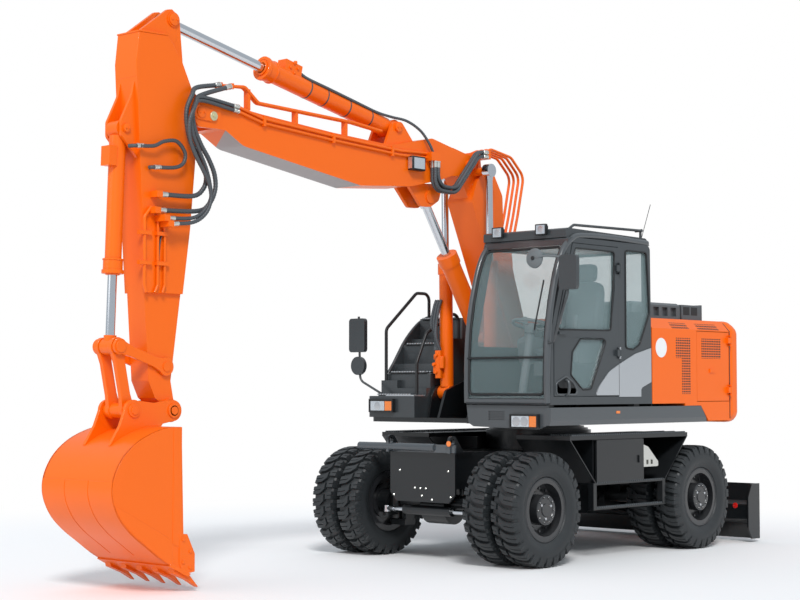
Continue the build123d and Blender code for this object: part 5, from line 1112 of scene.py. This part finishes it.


# Tank cover and stairs.
# A moulded side cover with a swept front edge over the tank, in the cab's grey.
# Three black stair treads are screwed on, with rows of punched teeth in silver enamel, whose brightness is a
# painted highlight.
swept = flat_curve((1.012, 1.724), (0.986, 1.796), (0.898, 1.906), (0.813, 2.024), (0.727, 2.136),
                   (0.618, 2.246), (0.499, 2.339), (0.379, 2.396), (0.310, 2.412))
cover = [prism(np.concatenate([[(0.310, 1.440), (1.005, 1.440)], swept]), 1, -1.2235, -1.190)]
cover += [slab((0.312, x), (-1.195, -0.603), (1.500, z)) for x, z in
          ((1.000, 1.792), (0.760, 2.087), (0.500, 2.357))]
soften(piece("tank_cover", cover, "upper", cab_grey, 0.6), 0.010)
treads = [slab((x - 0.210, x + 0.014), (-1.150, -0.640), (z, z + 0.012)) for x, z in
          ((1.000, 1.790), (0.760, 2.085), (0.520, 2.355))]
piece("stair_treads", treads, "upper", black, 0.3)
stairs = [slab((1.000, 1.230), (-1.000, -0.620), (1.556, 1.572))]
for x, z in ((1.215, 1.572), (1.000, 1.802), (0.900, 1.802), (0.760, 2.097), (0.660, 2.097), (0.520, 2.367)):
    points, faces = tread_teeth((-1.130, -0.660), (x - 0.011, x + 0.011), z)
    stairs.append((points[:, [1, 0, 2]], faces[:, ::-1]))
# The silver on these teeth is a painted highlight along the tread edges.
piece("stair_teeth", stairs, "upper", silver, 0.3)


# Bumper tube, rear lamps and blade reflectors.
# The bumper has a glossier enamel, in a lighter grey that is a painted highlight; the rear lamps are black
# boxes with red lenses.
# Two round red reflectors are screwed to the blade.
# Its grey, much lighter than the dark enamel, is a painted highlight on the round tube; its gloss is real.
bumper = finish("bumper enamel with painted highlight", (0.055, 0.064, 0.072), 0.22, coat=0.5)
BUMPER_TUBE = (1.78, -0.90, 1.02), (1.93, 0.60, 1.125)
patch("front_guard", bumper, *BUMPER_TUBE)
REAR_LAMP_Y, REFLECTOR_Y = 0.62, 1.10
boxes, lenses, marks = [], [], []
for s in (-1, 1):
    y = s * REAR_LAMP_Y
    boxes.append(slab((-2.225, -2.150), (y - 0.110, y + 0.110), (1.395, 1.495)))
    lenses.append(slab((-2.231, -2.224), (y - 0.098, y + 0.098), (1.405, 1.485)))
    marks.append(stud((-2.012, s * REFLECTOR_Y, 0.385), 0.030, 0.010, 24, axis=0))
soften(piece("rear_lamp_boxes", boxes, "upper", black), 0.006)
piece("rear_lamp_lenses", lenses, "upper", red)
piece("blade_reflectors", marks, "blade", red)


# Studio.
# A plain pale floor and an even white surround, lit softly from high on the left.
# Camera and transmission rays see white; the sky's pale blue, the sun and the fill light the object.
def studio():
    """World, two lamps and the floor, which fades to plain white with distance."""
    scene = bpy.context.scene
    scene.world = bpy.data.worlds.new("soft studio")
    scene.world.use_nodes = True
    tree = scene.world.node_tree
    sky = tree.nodes["Background"]
    preset(sky, {"Color": (0.86, 0.93, 1.0, 1), "Strength": 0.66})
    white = added(tree, "Background", {"Color": (1, 1, 1, 1), "Strength": 1.0})
    rays = added(tree, "LightPath")
    mix = added(tree, "MixShader")
    either = added(tree, "Math", operation="MAXIMUM")
    wire(tree, (rays, "Is Camera Ray", either, 0), (rays, "Is Transmission Ray", either, 1),
         (either, 0, mix, 0), (sky, 0, mix, 1), (white, 0, mix, 2),
         (mix, 0, tree.nodes["World Output"], "Surface"))
    sun = bpy.data.lights.new("key", "SUN")
    sun.energy = 2.15
    sun.angle = math.radians(14)
    side = bpy.data.lights.new("fill", "AREA")
    side.energy = 220
    side.size = 8
    for light, place, turn in ((sun, (0, 0, 0), (50, 0, 136)), (side, (13, -3, 7), (62, 0, 72))):
        lamp = bpy.data.objects.new(light.name, light)
        lamp.location = place
        lamp.rotation_euler = [math.radians(angle) for angle in turn]
        scene.collection.objects.link(lamp)
    mesh = bpy.data.meshes.new("floor")
    reach = 60
    corners = [(-reach, -reach, 0), (reach, -reach, 0), (reach, reach, 0), (-reach, reach, 0)]
    mesh.from_pydata(corners, [], [(0, 1, 2, 3)])
    floor = bpy.data.objects.new("floor", mesh)
    scene.collection.objects.link(floor)
    pale = finish("studio floor", (0.90, 0.90, 0.90), 0.9)
    mesh.materials.append(pale)
    tree = pale.node_tree
    place = added(tree, "TexCoord")
    away = added(tree, "VectorMath", operation="LENGTH")
    fade = added(tree, "MapRange", {"From Min": 4.5, "From Max": 9.0}, interpolation_type="SMOOTHSTEP")
    glow = added(tree, "Emission")
    blend = added(tree, "MixShader")
    wire(tree, (place, "Object", away, 0), (away, "Value", fade, "Value"), (fade, "Result", blend, 0),
         (tree.nodes["Principled BSDF"], 0, blend, 1), (glow, 0, blend, 2),
         (blend, 0, tree.nodes["Material Output"], "Surface"))
    floor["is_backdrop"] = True


studio()


# Camera at the photograph's place and lens.
# EYE is metres from the foot of the swing axis; HEADING and TILT are radians.
EYE = np.array([13.949, 10.785, 1.645])
HEADING = 3.8806
TILT = 0.0514
camera = bpy.data.cameras.new("camera")
camera.lens = 76.61
camera.sensor_width = 36
camera.clip_end = 200
eye = bpy.data.objects.new("camera", camera)
eye.location = EYE + SWING
eye.rotation_euler = (math.pi / 2 + TILT, 0, HEADING - math.pi / 2)
bpy.context.scene.collection.objects.link(eye)
bpy.context.scene.camera = eye
bpy.context.scene.view_settings.view_transform = "Standard"

boxes = {"cad": cad_box, "visual": [list(map(float, corner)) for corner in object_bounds()]}
